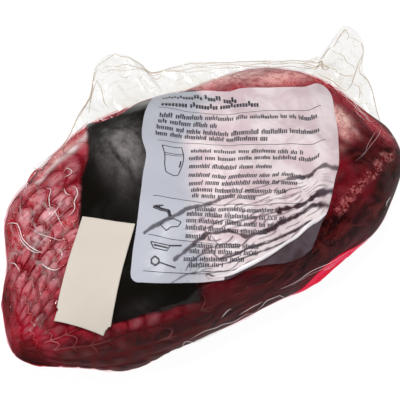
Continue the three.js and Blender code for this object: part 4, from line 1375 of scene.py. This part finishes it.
def top_form(x, y):
    """The top of the filled bag over places in plan: start at the even form, then correct the
    start by what the lobes moved sideways."""
    x, y = np.broadcast_arrays(np.asarray(x, float), np.asarray(y, float))
    start_x, start_y = x.copy(), y.copy()
    for _ in range(8):
        share = np.clip(2 * start_x / LEG_LENGTH, -1, 1)
        full = np.maximum(1 - np.abs(share) ** END_SQUARENESS, 0) ** (1 / END_SQUARENESS)
        middle, half_width, belt, above, _ = cross_section(share, full)
        across = np.clip(np.abs(start_y - middle) / np.maximum(half_width, 1e-6), 0, 1)
        height = above * (1 - across**SECTION_SQUARENESS) ** (1 / SECTION_SQUARENESS)
        points = swell(np.stack([start_x, start_y, belt + height], -1),
                       np.stack([start_x * CORE_SHARE, middle, belt], -1), LOBES)
        start_x, start_y = start_x + x - points[..., 0], start_y + y - points[..., 1]
    return points


down = np.linspace(0, 1, STICKER_STEPS[1])[:, None]
left, right = (np.interp(down, STICKER_EDGES[:, 0], STICKER_EDGES[:, i]) for i in (1, 2))
across = left + (right - left) * np.linspace(0, 1, STICKER_STEPS[0])[None]
along_mm, across_mm = (0.5 - down) * STICKER_LONG, (across - 0.5) * STICKER_WIDE
sticker_x = STICKER_X + along_mm * np.cos(STICKER_TURN) + across_mm * np.sin(STICKER_TURN)
sticker_y = STICKER_Y + along_mm * np.sin(STICKER_TURN) - across_mm * np.cos(STICKER_TURN)
sticker_under = top_form(sticker_x, sticker_y)
sticker_out = unit(np.cross(np.gradient(sticker_under, axis=0), np.gradient(sticker_under, axis=1)))
sticker_out = sticker_out * np.sign(sticker_out[..., 2:])
curl = 0.10 * ripples(sticker_under, 14, 61)[..., None]
sticker_low = sticker_under + sticker_out * (STICKER_GAP + curl)
sticker_top = sticker_low + sticker_out * STICKER_THICK
points, faces = closed_sheet(sticker_top, sticker_low)
paper_look = Look("label_paper")
fibre = paper_look.noise(900, 3, 0.6)
paper = paper_look.blend(paper_look.noise(45, 3), (0.505, 0.445, 0.385), (0.555, 0.505, 0.445))
paper = paper_look.blend(paper_look.ramp(fibre, (0.4, 0), (0.7, 0.12)), paper, (0.47, 0.40, 0.33))
sticker_object = object_from("sticker", points, faces, paper_look.finish(paper_look.add(
    "BsdfPrincipled", Base_Color=paper, Roughness=0.75, Normal=paper_look.bump(fibre, 0.0001, 0.5),
)))
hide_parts("paper_sticker")

# ---------------------------------------------------------------------------------------------
# The pleats: spare film that stands up from the bag in fine ridges and loops. Their film is
# almost all milky white veil, a painted highlight that shows them as thin white lines.
# ---------------------------------------------------------------------------------------------
PLEAT_STEPS, PLEAT_SINK, PLEAT_FINENESS = 48, 0.1, 0.62
# millimetres that one unit of latitude and one degree of angle cover, about
LATITUDE_RUN, ANGLE_RUN = 140, 68 * np.pi / 180
PLEAT_PROFILE = np.array([(-1, 0), (-0.45, 0.7), (0, 1), (0.45, 0.7), (1, 0), (0, -0.3)])
# each pleat: its half width in millimetres, then latitudes and angles in degrees along it
PLEATS = [
    (0.55, [(-0.830, 24.9), (-0.803, 33.9), (-0.795, 38.2), (-0.811, 42.4), (-0.811, 52.2),
            (-0.791, 65.7), (-0.758, 81.2)]),
    (0.45, [(-0.801, 37.5), (-0.819, 40.3), (-0.822, 50.4), (-0.804, 64.8), (-0.767, 78.6)]),
    (0.50, [(-0.533, 56.1), (-0.521, 59.5), (-0.520, 63.3), (-0.528, 67.4), (-0.551, 70.6),
            (-0.556, 74.7), (-0.577, 76.7), (-0.594, 75.2)]),
    (0.45, [(-0.620, 43.0), (-0.608, 47.2), (-0.628, 50.3), (-0.647, 57.7)]),
    (0.40, [(-0.561, 53.4), (-0.563, 58.5), (-0.552, 62.7)]),
    (0.50, [(-0.784, 88.2), (-0.768, 97.6), (-0.743, 106.5), (-0.721, 109.5), (-0.704, 109.4)]),
    (0.45, [(-0.933, 37.0), (-0.912, 48.9), (-0.908, 57.4), (-0.908, 64.1)]),
    (0.40, [(-0.690, 19.2), (-0.673, 21.0), (-0.682, 28.4), (-0.701, 31.6)]),
    (0.17, [(1.030, 86.0), (0.840, 118.3), (0.753, 128.9), (0.684, 134.5), (0.606, 137.0)]),
    (0.15, [(0.858, 108.9), (0.776, 122.2), (0.720, 130.1), (0.686, 134.0), (0.650, 134.9)]),
    (0.34, [(0.094, 177.0), (0.159, 178.6), (0.241, 177.5), (0.317, 178.7), (0.403, 179.4),
            (0.457, 180.8)]),
    (0.22, [(0.150, 180.4), (0.220, 179.6), (0.300, 180.9), (0.380, 181.8), (0.440, 183.0)]),
    (0.35, [(0.316, 182.8), (0.352, 183.7), (0.383, 183.5)]),
    (0.40, [(-0.008, 187.5), (0.014, 185.7), (0.036, 182.8), (0.085, 183.4), (0.100, 183.9),
            (0.141, 192.5)]),
    (0.40, [(-0.361, 186.3), (-0.351, 180.9), (-0.329, 183.2), (-0.295, 189.1), (-0.246, 190.6),
            (-0.208, 193.6), (-0.173, 191.6)]),
    (0.34, [(-0.330, 180.9), (-0.272, 179.7), (-0.209, 183.8), (-0.180, 184.5), (-0.119, 188.3),
            (-0.057, 187.7), (-0.021, 189.6)]),
    (0.35, [(-0.180, 178.9), (-0.149, 176.8), (-0.130, 177.1)]),
    (0.35, [(-0.092, 184.6), (-0.044, 183.5), (-0.007, 182.2), (0.016, 182.2)]),
    (0.40, [(0.750, 170.9), (0.702, 170.1), (0.691, 172.1)]),
    (0.28, [(1.004, 112.6), (1.074, 116.9), (1.274, 125.3)]),
    (0.45, [(-0.306, 18.0), (-0.281, 18.6), (-0.278, 26.6), (-0.256, 27.5)]),
    (0.40, [(-0.217, 20.6), (-0.176, 20.7), (-0.146, 27.1), (-0.112, 32.0), (-0.094, 37.0)]),
    (0.40, [(-0.342, 23.1), (-0.342, 28.8), (-0.320, 29.7)]),
    (0.35, [(-0.225, 31.4), (-0.214, 35.5), (-0.186, 36.2), (-0.154, 34.4)]),
    (0.40, [(-0.246, 20.1), (-0.235, 38.3), (-0.229, 56.4), (-0.211, 66.8)]),
    (0.30, [(-0.764, 47.7), (-0.741, 59.5), (-0.701, 75.1), (-0.666, 87.7), (-0.627, 93.9)]),
    (0.28, [(-0.700, 59.1), (-0.651, 62.5), (-0.615, 62.5), (-0.583, 58.8)]),
    (0.28, [(-0.644, 53.6), (-0.635, 63.2), (-0.636, 73.6), (-0.628, 84.5)]),
    (0.40, [(-0.533, 42.4), (-0.512, 42.2), (-0.504, 46.8), (-0.540, 45.7)]),
    (0.30, [(-0.687, 92.8), (-0.682, 101.9), (-0.726, 104.3)]),
    (0.26, [(0.690, 30.0), (0.730, 35.5), (0.780, 33.0), (0.830, 41.0), (0.880, 50.0),
            (0.905, 68.0)]),
    (0.22, [(0.720, 38.0), (0.760, 36.0), (0.800, 42.0), (0.850, 43.0), (0.880, 60.0),
            (0.890, 84.0)]),
    (0.22, [(0.745, 44.0), (0.790, 40.0), (0.815, 50.0), (0.860, 56.0)]),
    (0.26, [(0.800, 50.0), (0.845, 52.0), (0.850, 60.0), (0.885, 66.0), (0.880, 74.0)]),
    (0.24, [(0.905, 52.0), (0.925, 60.0), (0.905, 70.0), (0.930, 80.0)]),
    (0.24, [(0.840, 64.0), (0.825, 72.0), (0.850, 84.0)]),
]
pleat_at = np.linspace(0, 1, PLEAT_STEPS)
pleat_paths = np.array([even_path(places, (LATITUDE_RUN, ANGLE_RUN), PLEAT_STEPS) for _,
                        places in PLEATS])
path, out = on_film(pleat_paths[..., 0], np.radians(pleat_paths[..., 1]), -PLEAT_SINK)
taper = np.sin(np.pi * np.clip(pleat_at, 0.02, 0.98)) ** 0.5
half = PLEAT_FINENESS * np.array([half for half, _ in PLEATS])[:, None] * taper
# a milk share of 0.92: the white lines are painted highlight
pleat_look = Look("pleat_film")
object_from("film_pleats", sweep(path, out, PLEAT_PROFILE, half).reshape(-1, 3),
            sweep_faces(len(PLEATS), PLEAT_STEPS, len(PLEAT_PROFILE)),
            pleat_look.finish(film_shader(pleat_look, (0.97, 0.93, 0.93), 0.92, 0.3, 0.1, 1.0)))
